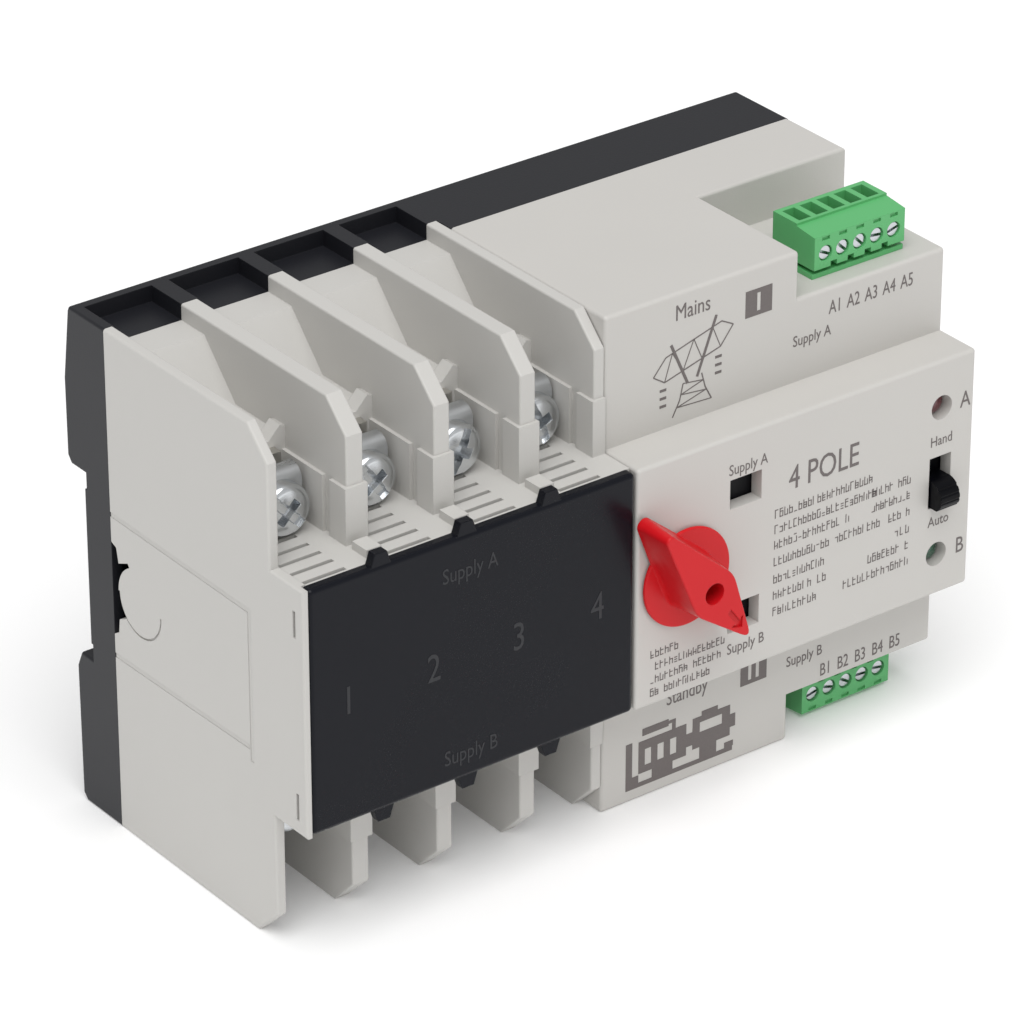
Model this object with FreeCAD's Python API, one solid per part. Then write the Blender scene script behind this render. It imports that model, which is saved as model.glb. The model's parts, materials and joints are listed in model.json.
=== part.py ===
"""Four-pole changeover switch for a 35 mm rail, with a hand knob and an auto/manual slider.

Frame, in millimetres: X runs to the right, Y runs back towards the wall and Z runs up.
The origin is on the rail seat: the seat plane is Y = 0, and the rail's centre line is Z = 0.
The source A terminals are along the top; source B and the load share the lower terminals.
"""
import FreeCAD, Part
import math
import os
from FreeCAD import Vector

os.makedirs("parts", exist_ok=True)

# ---------------------------------------------------------------- driving dimensions
WIDTH = 143.0
HEIGHT = 96.0
FRONT_Y = -63.3          # face of the front panel and of the black cover
STEP_Y = -54.15          # lower face above and below the front panel
NOSE_Z = 23.2            # half height of the front panel
SPLIT_X = -3.3           # joint between the switch section and the control section
SPLIT_GAP = 0.1          # half of the gap along that joint
SEAM_LEFT_Y = -7.5       # back edge of the switch housing
SEAM_RIGHT_Y = -11.4     # back edge of the control housing
WALL = 2.0
PANEL_WALL = 2.7
EDGE_R = 0.5

POLE_WALLS = [(-71.5, -69.5), (-56.0, -52.6), (-38.4, -35.2), (-20.8, -17.6), (-5.4, -3.4)]
BAY_FLOOR_Z = 23.0
BAY_TOP_Y = -48.6        # where the walls between the bays start to slope
BAY_EDGE_Z = 42.5
LEDGE_Z = 35.6
LEDGE_Y = -37.0
RAMP_FOOT_Y = -22.9
RAMP_HEAD_Y = -14.2
POCKET_Z = 45.0
LOAD_WALL_Y = -17.5      # back of the lower terminal bays

RAIL_NOTCH_Z = 18.0      # half height of the notch for a 35 mm rail
SEAT_PAD_Z = 15.0
SEAT_RELIEF = 0.5

GAP = 0.3                # room between pieces that move past each other
RUNNING = 0.05           # radial play of a shaft in its bush

KNOB_X = 7.05
KNOB_TURN_DEG = 108.0
KNOB_REST_DEG = -54.0
KNOB_TOP_Y = -71.6
KNOB_DISC_Y = -64.3
KNOB_DISC_R = 9.2
SHAFT_R = 2.5

GEAR_MODULE = 0.75
GEAR_TEETH = 10
PITCH_R = GEAR_MODULE * GEAR_TEETH / 2
TOOTH_AT_PITCH = 1.0
PRESSURE_ANGLE = math.radians(20)
ADDENDUM = 0.6
DEDENDUM = 0.85
TRAVEL = PITCH_R * math.radians(KNOB_TURN_DEG)
REST_Z = -TRAVEL / 2     # centre of the contact carrier with source B closed

SIGNAL_X = 55.1
SIGNAL_PITCH = 3.81
SIGNAL_WAYS = 5
NOTCH_X = 38.5
NOTCH_Z = 39.05
NOTCH_Y = -27.0

LATCH_X = (-35.0, 35.0)


# ---------------------------------------------------------------- helpers
def box(x0, x1, y0, y1, z0, z1):
    return Part.makeBox(x1 - x0, y1 - y0, z1 - z0, Vector(x0, y0, z0))


def prism_x(x0, x1, points):
    """Extrude an outline given as (y, z) points from x0 to x1."""
    corners = [Vector(x0, y, z) for y, z in points]
    face = Part.Face(Part.makePolygon(corners + corners[:1]))
    return face.extrude(Vector(x1 - x0, 0, 0))


def prism_y(y0, y1, points):
    """Extrude an outline given as (x, z) points from y0 to y1."""
    corners = [Vector(x, y0, z) for x, z in points]
    face = Part.Face(Part.makePolygon(corners + corners[:1]))
    return face.extrude(Vector(0, y1 - y0, 0))


def rod_y(x, z, radius, y0, y1):
    return Part.makeCylinder(radius, y1 - y0, Vector(x, y0, z), Vector(0, 1, 0))


def rod_z(x, y, radius, z0, z1):
    return Part.makeCylinder(radius, z1 - z0, Vector(x, y, z0), Vector(0, 0, 1))


def fuse(shapes):
    return shapes[0].multiFuse(shapes[1:]).removeSplitter()


def cut(shape, tools):
    return shape.cut(tools)


def mirror_z(shape):
    return shape.mirror(Vector(0, 0, 0), Vector(0, 0, 1))


def soften(shape, radius, wanted):
    """Round the edges whose bounding box passes the test."""
    edges = [edge for edge in shape.Edges if wanted(edge.BoundBox)]
    return shape.makeFillet(radius, edges) if edges else shape


def near(a, b, tolerance=0.02):
    return abs(a - b) < tolerance


def along_y(bb):
    return near(bb.XLength, 0) and near(bb.ZLength, 0)


def save(node, shapes):
    """Write one sub-part; a list of solids goes into one file."""
    if isinstance(shapes, list):
        shapes = Part.makeCompound([solid for shape in shapes for solid in shape.Solids])
    shapes.exportStep("parts/" + node + ".step")
    print(node, len(shapes.Solids), "valid" if shapes.isValid() else "INVALID", round(shapes.Volume))


def bays():
    """Left wall, right wall and centre of each terminal bay."""
    for left, right in zip(POLE_WALLS, POLE_WALLS[1:]):
        yield left[1], right[0], (left[1] + right[0]) / 2


# ---------------------------------------------------------------- rear base
HALF_W = WIDTH / 2
HALF_H = HEIGHT / 2
HOOK_Y = (1.4, 3.4)
HOOK_Z = 16.0
SCREW_POSTS = [(-54.3, 38.0), (-19.2, 38.0), (5.0, 40.0), (64.0, 40.0)]
POST_R = 4.2
BASE_SCREW_R = 1.45
HEAD_SEAT_Y = 1.6
RIM_Y = 3.1              # back edge of the top face
POCKET_Y = 1.3           # back wall of the pockets in the top face


def base_posts():
    """Places of the screws that hold the base to the two housings, top and bottom."""
    for x, z in SCREW_POSTS:
        front = SEAM_LEFT_Y if x < SPLIT_X else SEAM_RIGHT_Y
        yield x, z, front
        yield x, -z, front


def rear_base():
    outline = [
        (SEAM_LEFT_Y, HALF_H), (RIM_Y, HALF_H), (RIM_Y + 0.4, 47.2), (5.3, 34.0), (5.2, 19.4), (4.1, RAIL_NOTCH_Z),
        (-SEAT_RELIEF, RAIL_NOTCH_Z), (-SEAT_RELIEF, SEAT_PAD_Z), (0, SEAT_PAD_Z), (0, -SEAT_PAD_Z),
        (-SEAT_RELIEF, -SEAT_PAD_Z), (-SEAT_RELIEF, -18.2), (3.4, -18.2), (4.8, -21.3), (4.6, -46.8),
        (3.4, -HALF_H), (SEAM_LEFT_Y, -HALF_H),
    ]
    body = prism_x(-HALF_W, HALF_W, outline)
    front = [
        (SEAM_RIGHT_Y, HALF_H), (SEAM_LEFT_Y, HALF_H), (SEAM_LEFT_Y, -HALF_H), (SEAM_RIGHT_Y, -HALF_H),
    ]
    right_x = SPLIT_X + SPLIT_GAP
    body = fuse([body, prism_x(right_x, HALF_W, front)])
    ends = (-HALF_W, HALF_W)
    body = soften(body, EDGE_R, lambda bb: near(bb.XLength, 0) and bb.YMax > 0.1
                  and any(near(bb.XMin, end) for end in ends))
    body = soften(body, EDGE_R, lambda bb: bb.XLength > 100 and bb.YMin > 0.5)
    hollows = [
        box(-HALF_W + WALL, HALF_W - WALL, -5.0, 2.4, 20.6, 42.5),
        box(-HALF_W + WALL, HALF_W - WALL, -5.0, -2.6, -20.6, 20.7),
        box(-HALF_W + WALL, HALF_W - WALL, -5.0, -1.6, -45.6, -20.5),
    ]
    for x0, x1, front_y in ((-HALF_W + WALL, SPLIT_X - WALL, SEAM_LEFT_Y),
                            (right_x + WALL, HALF_W - WALL, SEAM_RIGHT_Y)):
        hollows.append(box(x0, x1, front_y - 1, -4.9, -45.6, 42.5))
    body = cut(body, [fuse(hollows)])
    posts = [rod_y(x, z, POST_R, front_y, 2.5 if z > 0 else -1.5) for x, z, front_y in base_posts()]
    body = fuse([body] + posts)
    tools = []
    for left, right, _ in bays():
        tools.append(box(left, right, SEAM_LEFT_Y - 1, POCKET_Y, POCKET_Z, HALF_H + 1))
    for x, z, front_y in base_posts():
        tools.append(rod_y(x, z, BASE_SCREW_R + 0.15, front_y - 1, 6.0))
        tools.append(rod_y(x, z, 3.3, HEAD_SEAT_Y, 6.0))
    for x in LATCH_X:
        tools.append(box(x - 7.0 - GAP, x + 7.0 + GAP, 1.0, 6.0, -HALF_H - 1, -17.0))
        tools.append(box(x - 8.2 - GAP, x + 8.2 + GAP, 1.0, 2.3 + GAP, -HALF_H - 1, -21.0))
    body = cut(body, tools)
    extra = []
    for x in LATCH_X:
        extra.append(prism_x(x - 10, x + 10, [
            (HOOK_Y[0], RAIL_NOTCH_Z + 1), (HOOK_Y[0], HOOK_Z), (HOOK_Y[1], HOOK_Z + 0.8),
            (HOOK_Y[1], RAIL_NOTCH_Z + 1)]))
        extra.append(box(x - 2.0, x + 2.0, 0.5, 4.2, -37.9, -36.4))
    return fuse([body] + extra)


# ---------------------------------------------------------------- switch housing
CHAMBER_Z = BAY_FLOOR_Z - WALL
COVER_BACK_Y = -61.3
SLOT_PITCH = 3.4
FIRST_SLOT_Y = -60.4
SLOT_COUNT = 5
SLOT_LENGTH = 8.5
SLOT_WIDTH = 0.9
BEAM_Y = (-36.0, -28.0)
BEAM_HALF_Z = 5.0
BEAM_WINDOW_Z = TRAVEL / 2 + BEAM_HALF_Z + 2 * GAP
BAR_Y = (-39.0, -37.0)
LOAD_BAR_Y = (-19.5, -17.5)
BAR_HALF_X = 4.5
PANEL_RISE = 0.7         # thickness of the raised plates on the walls between the bays
PLATE_TOP_Z = 33.45
PLATE_FRONT_Y = -48.3
LOAD_PLATE_Y = -30.0
POST_BACK_Y = -50.2
POST_RISE = 0.6
SIDE_LINE_W = 0.9
SIDE_LINE_DEPTH = 0.12
DISC_AT = (-15.6, -0.4)  # y and z of the finger disc on the left wall
DISC_R = 6.4
DISC_RIM_W = 0.35
DISC_RIM_DEPTH = 0.35
SCREW_Z = 28.0
LOAD_SCREW_Z = -39.5
CORE_R = 2.5


def beam_window(x0, x1):
    return box(x0, x1, BEAM_Y[0] - 2 * GAP, BEAM_Y[1] + 2 * GAP, -BEAM_WINDOW_Z, BEAM_WINDOW_Z)


def bay_cut(left, right, upper):
    """The open space of one terminal bay."""
    if upper:
        points = [(-5.0, POCKET_Z), (RAMP_HEAD_Y, POCKET_Z), (RAMP_FOOT_Y, LEDGE_Z), (LEDGE_Y, LEDGE_Z),
                  (LEDGE_Y, BAY_FLOOR_Z), (-70.0, BAY_FLOOR_Z), (-70.0, 60.0), (-5.0, 60.0)]
    else:
        points = [(LOAD_WALL_Y, -BAY_FLOOR_Z), (-70.0, -BAY_FLOOR_Z), (-70.0, -60.0), (LOAD_WALL_Y, -60.0)]
    return prism_x(left, right, points)


def bay_details(wall, side):
    """Raised panels, wire guide and foot block on the left face of a wall; side is +1 above, -1 below."""
    face_x = wall[0]
    far_x = wall[1] + (PANEL_RISE / 2 if wall is not POLE_WALLS[-1] else 0)
    rear_y = LEDGE_Y if side > 0 else LOAD_PLATE_Y
    pieces = [
        box(face_x - PANEL_RISE, face_x, PLATE_FRONT_Y, rear_y, BAY_FLOOR_Z, PLATE_TOP_Z),
        box(face_x - PANEL_RISE, far_x, STEP_Y - POST_RISE, POST_BACK_Y, BAY_FLOOR_Z, PLATE_TOP_Z),
    ]
    if side > 0:
        pieces.append(prism_y(LEDGE_Y, LEDGE_Y + 3.0, [
            (face_x, LEDGE_Z - 3.0), (face_x - 3.9, LEDGE_Z - 3.0), (face_x - 3.9, LEDGE_Z - 0.6),
            (face_x - 1.0, LEDGE_Z + 2.4), (face_x, LEDGE_Z + 2.0)]))
    if wall is not POLE_WALLS[-1]:
        pieces.append(box(face_x - 0.4, face_x + 2.6, -60.0, -56.0, BAY_FLOOR_Z - 0.5, BAY_FLOOR_Z + 1.5))
    return pieces if side > 0 else [mirror_z(piece) for piece in pieces]


def switch_housing():
    x0 = -HALF_W
    x1 = SPLIT_X - SPLIT_GAP
    outline = [
        (SEAM_LEFT_Y, HALF_H), (BAY_TOP_Y, HALF_H), (STEP_Y, BAY_EDGE_Z), (STEP_Y, NOSE_Z),
        (FRONT_Y, NOSE_Z), (FRONT_Y, -NOSE_Z), (STEP_Y, -NOSE_Z), (STEP_Y, -BAY_EDGE_Z),
        (BAY_TOP_Y, -HALF_H), (SEAM_LEFT_Y, -HALF_H),
    ]
    body = prism_x(x0, x1, outline)
    front_zone = [
        box(POLE_WALLS[0][1] - 0.9, x1 + 1, -70.0, COVER_BACK_Y, -30, 30),
        box(POLE_WALLS[0][1], x1 + 1, -70.0, STEP_Y, BAY_FLOOR_Z, 30),
        box(POLE_WALLS[0][1], x1 + 1, -70.0, STEP_Y, -30, -BAY_FLOOR_Z),
    ]
    body = cut(body, front_zone + [bay_cut(left, right, upper)
                                   for left, right, _ in bays() for upper in (True, False)])
    body = soften(body, EDGE_R, lambda bb: near(bb.XLength, 0) and near(bb.XMin, x0) and bb.YMin < -7.6)
    wall_sides = [x for wall in POLE_WALLS[1:-1] for x in wall] + [POLE_WALLS[0][1], POLE_WALLS[-1][0]]
    body = soften(body, 0.4, lambda bb: near(bb.XLength, 0) and abs(bb.ZMin + bb.ZMax) > 2 * BAY_FLOOR_Z + 4
                  and any(near(bb.XMin, x) for x in wall_sides)
                  and ((near(bb.ZLength, 0) and near(abs(bb.ZMin), HALF_H))
                       or (near(bb.YLength, 0) and near(bb.YMin, STEP_Y))
                       or (bb.YLength > 4 and bb.YLength < 6 and bb.YMax < -48)))
    details = []
    for wall in POLE_WALLS[1:]:
        details += bay_details(wall, 1) + bay_details(wall, -1)
    body = fuse([body] + details)
    inner_x0 = POLE_WALLS[0][1]
    inner_x1 = POLE_WALLS[-1][0]
    chamber = fuse([
        box(inner_x0, inner_x1, -70.0, 0.0, -CHAMBER_Z, CHAMBER_Z),
        prism_x(inner_x0, inner_x1, [
            (0.0, 20.0), (0.0, POCKET_Z - WALL), (RAMP_HEAD_Y + 0.9, POCKET_Z - WALL),
            (RAMP_FOOT_Y + 0.9, LEDGE_Z - WALL), (LEDGE_Y + WALL, LEDGE_Z - WALL), (LEDGE_Y + WALL, 20.0)]),
        box(inner_x0, inner_x1, LOAD_WALL_Y + WALL, 0.0, -HALF_H + WALL, -20.0),
    ])
    body = cut(body, [chamber])
    bosses = [rod_y(x, z, 3.2, LOAD_WALL_Y + WALL, SEAM_LEFT_Y) for x, z, _ in base_posts() if x < SPLIT_X]
    bosses += [box(x - 1.2, x + 1.2, LOAD_WALL_Y + WALL, SEAM_LEFT_Y, min(z, 0.6 * z), max(z, 1.18 * z))
               for x, z, _ in base_posts() if x < SPLIT_X and z > 0]
    body = fuse([body] + bosses)
    tools = [beam_window(inner_x1 - 1, x1 + 1)]
    for x, z, _ in base_posts():
        if x < SPLIT_X:
            tools.append(rod_y(x, z, BASE_SCREW_R, LOAD_WALL_Y + WALL + 0.6, 0.0))
    for left, right, centre in bays():
        for row in range(SLOT_COUNT):
            y = FIRST_SLOT_Y + row * SLOT_PITCH
            for z0, z1 in ((CHAMBER_Z - 1, 26.0), (-26.0, -CHAMBER_Z + 1)):
                tools.append(box(left, left + SLOT_LENGTH, y - SLOT_WIDTH / 2, y + SLOT_WIDTH / 2, z0, z1))
        bar = (centre - BAR_HALF_X, centre + BAR_HALF_X)
        tools.append(box(bar[0], bar[1], BAR_Y[0], BAR_Y[1], -26.0, 26.0))
        tools.append(box(bar[0], bar[1], LOAD_BAR_Y[0], LOAD_BAR_Y[1], -26.0, -20.0))
        tools.append(rod_y(centre, SCREW_Z, CORE_R + 0.4, LEDGE_Y - 1, LEDGE_Y + 6))
        tools.append(rod_y(centre, LOAD_SCREW_Z, CORE_R + 0.4, LOAD_WALL_Y - 1, LOAD_WALL_Y + 5))
    for z0, z1 in ((13.85, 18.8), (-20.6, -15.5)):
        tools.append(box(x0 - 1, x0 + 4, -61.2, -60.5, z0, z1))
    tools += side_recess(x0)
    return cut(body, tools)


def side_line(points):
    """A shallow recessed line on the left wall, given by its two ends (y, z)."""
    (y0, z0), (y1, z1) = points
    across = Vector(0, z0 - z1, y1 - y0)
    across.normalize()
    half = across * (SIDE_LINE_W / 2)
    return prism_x(-HALF_W - 1, -HALF_W + SIDE_LINE_DEPTH, [
        (y0 + half.y, z0 + half.z), (y1 + half.y, z1 + half.z),
        (y1 - half.y, z1 - half.z), (y0 - half.y, z0 - half.z)])


def side_recess(x0):
    """Shallow lines and the finger disc's rim on the left wall, and the stepped cut-out at its back edge."""
    lines = [side_line(ends) for ends in (
        ((-6.0, 13.4), (-48.2, 13.0)), ((-6.0, -13.8), (-47.4, -13.0)), ((-48.0, 13.4), (-48.0, -15.6)))]
    disc_y, disc_z = DISC_AT
    rim = Part.makeCylinder(DISC_R, 1 + DISC_RIM_DEPTH, Vector(x0 - 1, disc_y, disc_z), Vector(1, 0, 0))
    rim = rim.cut(Part.makeCylinder(DISC_R - DISC_RIM_W, 4, Vector(x0 - 2, disc_y, disc_z), Vector(1, 0, 0)))
    rim = rim.common(box(x0 - 2, x0 + 2, disc_y - DISC_R, disc_y + DISC_R, disc_z - DISC_R, disc_z))
    back = [(-5.0, 13.0), (-7.6, 8.1), (-8.9, 7.6), (-9.5, 4.8), (-12.3, 6.0), (-14.2, 3.0), (-14.2, -2.4),
            (-11.1, -5.2), (-9.2, -6.1), (-8.9, -8.8), (-7.6, -9.55), (-5.0, -13.6)]
    disc = Part.makeCylinder(DISC_R, 2 * WALL + 2, Vector(x0 - 1, disc_y, disc_z), Vector(1, 0, 0))
    return lines + [rim, prism_x(x0 - 1, x0 + WALL + GAP, back).cut(disc)]


# ---------------------------------------------------------------- front cover
COVER_X = (-70.3, -3.6)
LUG_X = (-55.7, -38.4, -21.05)


def front_cover():
    plate = box(COVER_X[0], COVER_X[1], FRONT_Y, COVER_BACK_Y, -NOSE_Z + 0.2, NOSE_Z - 0.2)
    plate = soften(plate, 0.9, lambda bb: along_y(bb) or near(bb.YMax, FRONT_Y))
    skirt = box(-69.2, -5.7, COVER_BACK_Y, -58.5, -CHAMBER_Z + GAP, CHAMBER_Z - GAP)
    skirt = skirt.cut(box(-67.7, -7.2, COVER_BACK_Y - 1, -50, -CHAMBER_Z + 1.8, CHAMBER_Z - 1.8))
    lugs = []
    for x in LUG_X:
        lug = prism_y(FRONT_Y + 0.3, COVER_BACK_Y, [
            (x - 2.3, NOSE_Z - 1.2), (x + 2.3, NOSE_Z - 1.2), (x + 1.2, NOSE_Z + 2.0), (x - 1.2, NOSE_Z + 2.0)])
        lugs += [lug, mirror_z(lug)]
    clips = [box(COVER_X[0] + 0.4, -69.0, -61.1, -60.6, z0 + GAP, z1 - GAP)
             for z0, z1 in ((13.85, 18.8), (-20.6, -15.5))]
    return fuse([plate, skirt] + lugs + clips)


# ---------------------------------------------------------------- power circuit
CONTACT_Z = 7.0
STRIP = 1.6
TIP_H = 1.2
FRONT_TIP_Y = -42.0
REAR_TIP_Y = -22.6
HEAD_R = 4.8
HEAD_Y = (-47.5, -44.3)
SADDLE_T = 1.2
SCREW_TURN = 35


def source_bar(centre):
    """Terminal plate with its bent arm; the source A one, for the top."""
    plate = box(centre - BAR_HALF_X, centre + BAR_HALF_X, BAR_Y[0], BAR_Y[1], CONTACT_Z, 34.4)
    arm = box(centre - 3.0, centre + 3.0, FRONT_TIP_Y - 2.6, BAR_Y[0], CONTACT_Z, CONTACT_Z + STRIP)
    bar = fuse([plate, arm])
    return bar.cut(rod_y(centre, SCREW_Z, CORE_R, BAR_Y[0] - 1, BAR_Y[1] + 1))


def load_bar(centre):
    plate = box(centre - BAR_HALF_X, centre + BAR_HALF_X, LOAD_BAR_Y[0], LOAD_BAR_Y[1],
                -44.6, CONTACT_Z + STRIP)
    arms = [box(centre - 3.0, centre + 3.0, REAR_TIP_Y - 2.6, LOAD_BAR_Y[0], z, z + STRIP)
            for z in (CONTACT_Z, -CONTACT_Z - STRIP)]
    bar = fuse([plate] + arms)
    return bar.cut(rod_y(centre, LOAD_SCREW_Z, CORE_R, LOAD_BAR_Y[0] - 1, LOAD_BAR_Y[1] + 1))


def terminal_screw(x, z, plate_y):
    """Pan head with a cross slot; plate_y is the front of the terminal plate."""
    back = plate_y + (HEAD_Y[1] - BAR_Y[0])
    front = plate_y + (HEAD_Y[0] - BAR_Y[0])
    head = rod_y(x, z, HEAD_R, front, back)
    head = soften(head, 1.3, lambda bb: near(bb.YMin, front) and near(bb.YLength, 0))
    slots = [box(x - HEAD_R * 0.72, x + HEAD_R * 0.72, front - 1, front + 1.3, z - 0.6, z + 0.6),
             box(x - 0.6, x + 0.6, front - 1, front + 1.3, z - HEAD_R * 0.72, z + HEAD_R * 0.72)]
    for slot in slots:
        slot.rotate(Vector(x, 0, z), Vector(0, 1, 0), SCREW_TURN)
    core = rod_y(x, z, CORE_R - 0.02, back - 0.5, plate_y + 5.4)
    return fuse([head.cut(slots), core])


def saddle(x, z, plate_y, side):
    """Pressed clamp plate under a screw head; its outer end curls back over the wire."""
    y0 = plate_y + (HEAD_Y[1] - BAR_Y[0])
    y1 = y0 + SADDLE_T
    curl = 2.4
    plate = box(x - 4.9, x + 4.9, y0, y1, z - 4.6, z + 3.4)
    ring = Part.makeCylinder(curl, 9.8, Vector(x - 4.9, y0 + curl, z + 3.4), Vector(1, 0, 0))
    ring = ring.cut(Part.makeCylinder(curl - SADDLE_T, 12, Vector(x - 6, y0 + curl, z + 3.4), Vector(1, 0, 0)))
    ring = ring.common(box(x - 6, x + 6, y0 - 1, y0 + curl, z + 3.4, z + 9))
    lip = box(x - 4.9, x + 4.9, y0 + curl, y0 + curl + 0.8, z + 3.4 + curl - SADDLE_T, z + 3.4 + curl)
    shape = fuse([plate, ring, lip]).cut(rod_y(x, z, CORE_R, y0 - 1, y1 + 1))
    shape = soften(shape, 1.6, lambda bb: along_y(bb) and near(bb.ZMin, z - 4.6))
    if side < 0:
        shape = shape.mirror(Vector(0, 0, z), Vector(0, 0, 1))
    return shape


def contact_tip(x, y, z0):
    return box(x - 2.4, x + 2.4, y - 2.4, y + 2.4, z0, z0 + TIP_H)


def bridge(centre):
    """Moving contact strip of one pole, at rest."""
    return box(centre - 2.5, centre + 2.5, FRONT_TIP_Y - 2.6, LOAD_BAR_Y[0] - 0.8,
               REST_Z - STRIP / 2, REST_Z + STRIP / 2)


def arc_plate(x, z):
    plate = box(x - 5.0, x + 5.0, -56.5, -46.4, z, z + 0.8)
    return plate.cut(plate_mouth(x, z))


def plate_mouth(x, z):
    """V-shaped mouth of an arc plate, open towards the contacts."""
    corners = [Vector(x - 2.6, -46.0, z - 1), Vector(x + 2.6, -46.0, z - 1), Vector(x, -51.0, z - 1)]
    return Part.Face(Part.makePolygon(corners + corners[:1])).extrude(Vector(0, 0, 3))


def contact_spring(x, side):
    """Bowed leaf between a contact strip and the edge of its window in the carrier."""
    y_mid = sum(BEAM_Y) / 2
    near_z = REST_Z + side * (STRIP / 2)
    far_z = REST_Z + side * 3.6
    low = Part.Arc(Vector(x - 2, y_mid - 3, near_z + side * 0.02), Vector(x - 2, y_mid, far_z - side * 0.4),
                   Vector(x - 2, y_mid + 3, near_z + side * 0.02)).toShape()
    high = Part.Arc(Vector(x - 2, y_mid - 3, near_z + side * 0.36), Vector(x - 2, y_mid, far_z - side * 0.04),
                    Vector(x - 2, y_mid + 3, near_z + side * 0.36)).toShape()
    ends = [Part.makeLine(low.Vertexes[0].Point, high.Vertexes[0].Point),
            Part.makeLine(low.Vertexes[1].Point, high.Vertexes[1].Point)]
    wire = Part.Wire(Part.__sortEdges__([low, high] + ends))
    return Part.Face(wire).extrude(Vector(4, 0, 0))


# ---------------------------------------------------------------- moving carrier
ARM_Y = (-33.5, -28.0)
PLUNGER_X = 27.0
PLUNGER_Y = -23.0
PLUNGER_R = 3.0
GEAR_Y = (-39.5, -35.5)
RACK_X = (KNOB_X + PITCH_R + DEDENDUM, 14.0)
FLAG_X = (15.4, 25.2)
FLAG_Y = (-60.0, -59.0)
FLAG_Z = (-17.8, 13.9)


def contact_carrier():
    z0 = REST_Z - BEAM_HALF_Z
    z1 = REST_Z + BEAM_HALF_Z
    parts = [box(-68.6, 2.0, BEAM_Y[0], BEAM_Y[1], z0, z1),
             box(1.0, 31.5, ARM_Y[0], ARM_Y[1], z0, z1),
             box(22.5, 31.5, ARM_Y[1], PLUNGER_Y + 3.9, REST_Z - 4.0, REST_Z + 4.0),
             box(14.6, 16.8, FLAG_Y[1], ARM_Y[0], REST_Z - 3.0, REST_Z + 3.0),
             box(RACK_X[0], RACK_X[1], GEAR_Y[1] + 0.02, ARM_Y[0], REST_Z - 7.0, REST_Z + 6.0)]
    body = fuse(parts)
    windows = [box(centre - 2.9, centre + 2.9, BEAM_Y[0] - 1, BEAM_Y[1] + 1, REST_Z - 3.6, REST_Z + 3.6)
               for _, _, centre in bays()]
    bore = rod_z(PLUNGER_X, PLUNGER_Y, PLUNGER_R, REST_Z - 6, REST_Z + 6)
    return body.cut(windows + [bore])


def drive_rack():
    """Rack on the right of the pinion, with a gap facing a pinion tooth at rest."""
    pitch = math.pi * GEAR_MODULE
    pitch_x = KNOB_X + PITCH_R
    low = REST_Z - 7.5
    high = REST_Z + 6.5
    teeth = [box(RACK_X[0], RACK_X[1], GEAR_Y[0], GEAR_Y[1], low, high)]
    half = TOOTH_AT_PITCH / 2
    tip = half - ADDENDUM * math.tan(PRESSURE_ANGLE)
    root = half + DEDENDUM * math.tan(PRESSURE_ANGLE)
    for step in range(-5, 2):
        z = (step + 0.5) * pitch
        if low + root < z < high - root:
            teeth.append(prism_y(GEAR_Y[0], GEAR_Y[1], [
                (pitch_x - ADDENDUM, z - tip), (pitch_x - ADDENDUM, z + tip),
                (RACK_X[0] + 0.1, z + root), (RACK_X[0] + 0.1, z - root)]))
    return fuse(teeth)


# ---------------------------------------------------------------- knob
def knob_point(along, across, y):
    """A point given along and across the knob's pointer, at rest."""
    angle = math.radians(KNOB_REST_DEG)
    return Vector(KNOB_X + along * math.cos(angle) - across * math.sin(angle), y,
                  along * math.sin(angle) + across * math.cos(angle))


def handle_wire(y, tip, half_width, tail, tail_half):
    """Closed outline of the handle at one height: a pointed front and a rounded tail."""
    nose = Part.makeLine(knob_point(tip, 0, y), knob_point(0, half_width, y))
    flank = Part.makeLine(knob_point(0, half_width, y), knob_point(-tail + tail_half, tail_half, y))
    end = Part.Arc(knob_point(-tail + tail_half, tail_half, y), knob_point(-tail, 0, y),
                   knob_point(-tail + tail_half, -tail_half, y)).toShape()
    back_flank = Part.makeLine(knob_point(-tail + tail_half, -tail_half, y), knob_point(0, -half_width, y))
    back_nose = Part.makeLine(knob_point(0, -half_width, y), knob_point(tip, 0, y))
    return Part.Wire([nose, flank, end, back_flank, back_nose])


def knob():
    disc = rod_y(KNOB_X, 0, KNOB_DISC_R, KNOB_DISC_Y, FRONT_Y - 0.3)
    foot = handle_wire(KNOB_DISC_Y, 13.2, 5.4, 17.3, 1.0)
    crown = handle_wire(KNOB_TOP_Y, 12.9, 4.8, 16.9, 0.6)
    handle = Part.makeLoft([foot, crown], True, True)
    body = fuse([disc, handle])
    bore = rod_y(KNOB_X, 0, 2.0, KNOB_TOP_Y - 1, KNOB_TOP_Y + 6.0)
    arrow_face = [knob_point(along, across, KNOB_TOP_Y - 1)
                  for along, across in ((10.2, 0), (5.4, 1.9), (6.4, 0), (5.4, -1.9))]
    arrow = Part.Face(Part.makePolygon(arrow_face + arrow_face[:1])).extrude(Vector(0, 1.4, 0))
    return body.cut([bore, arrow])


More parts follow.
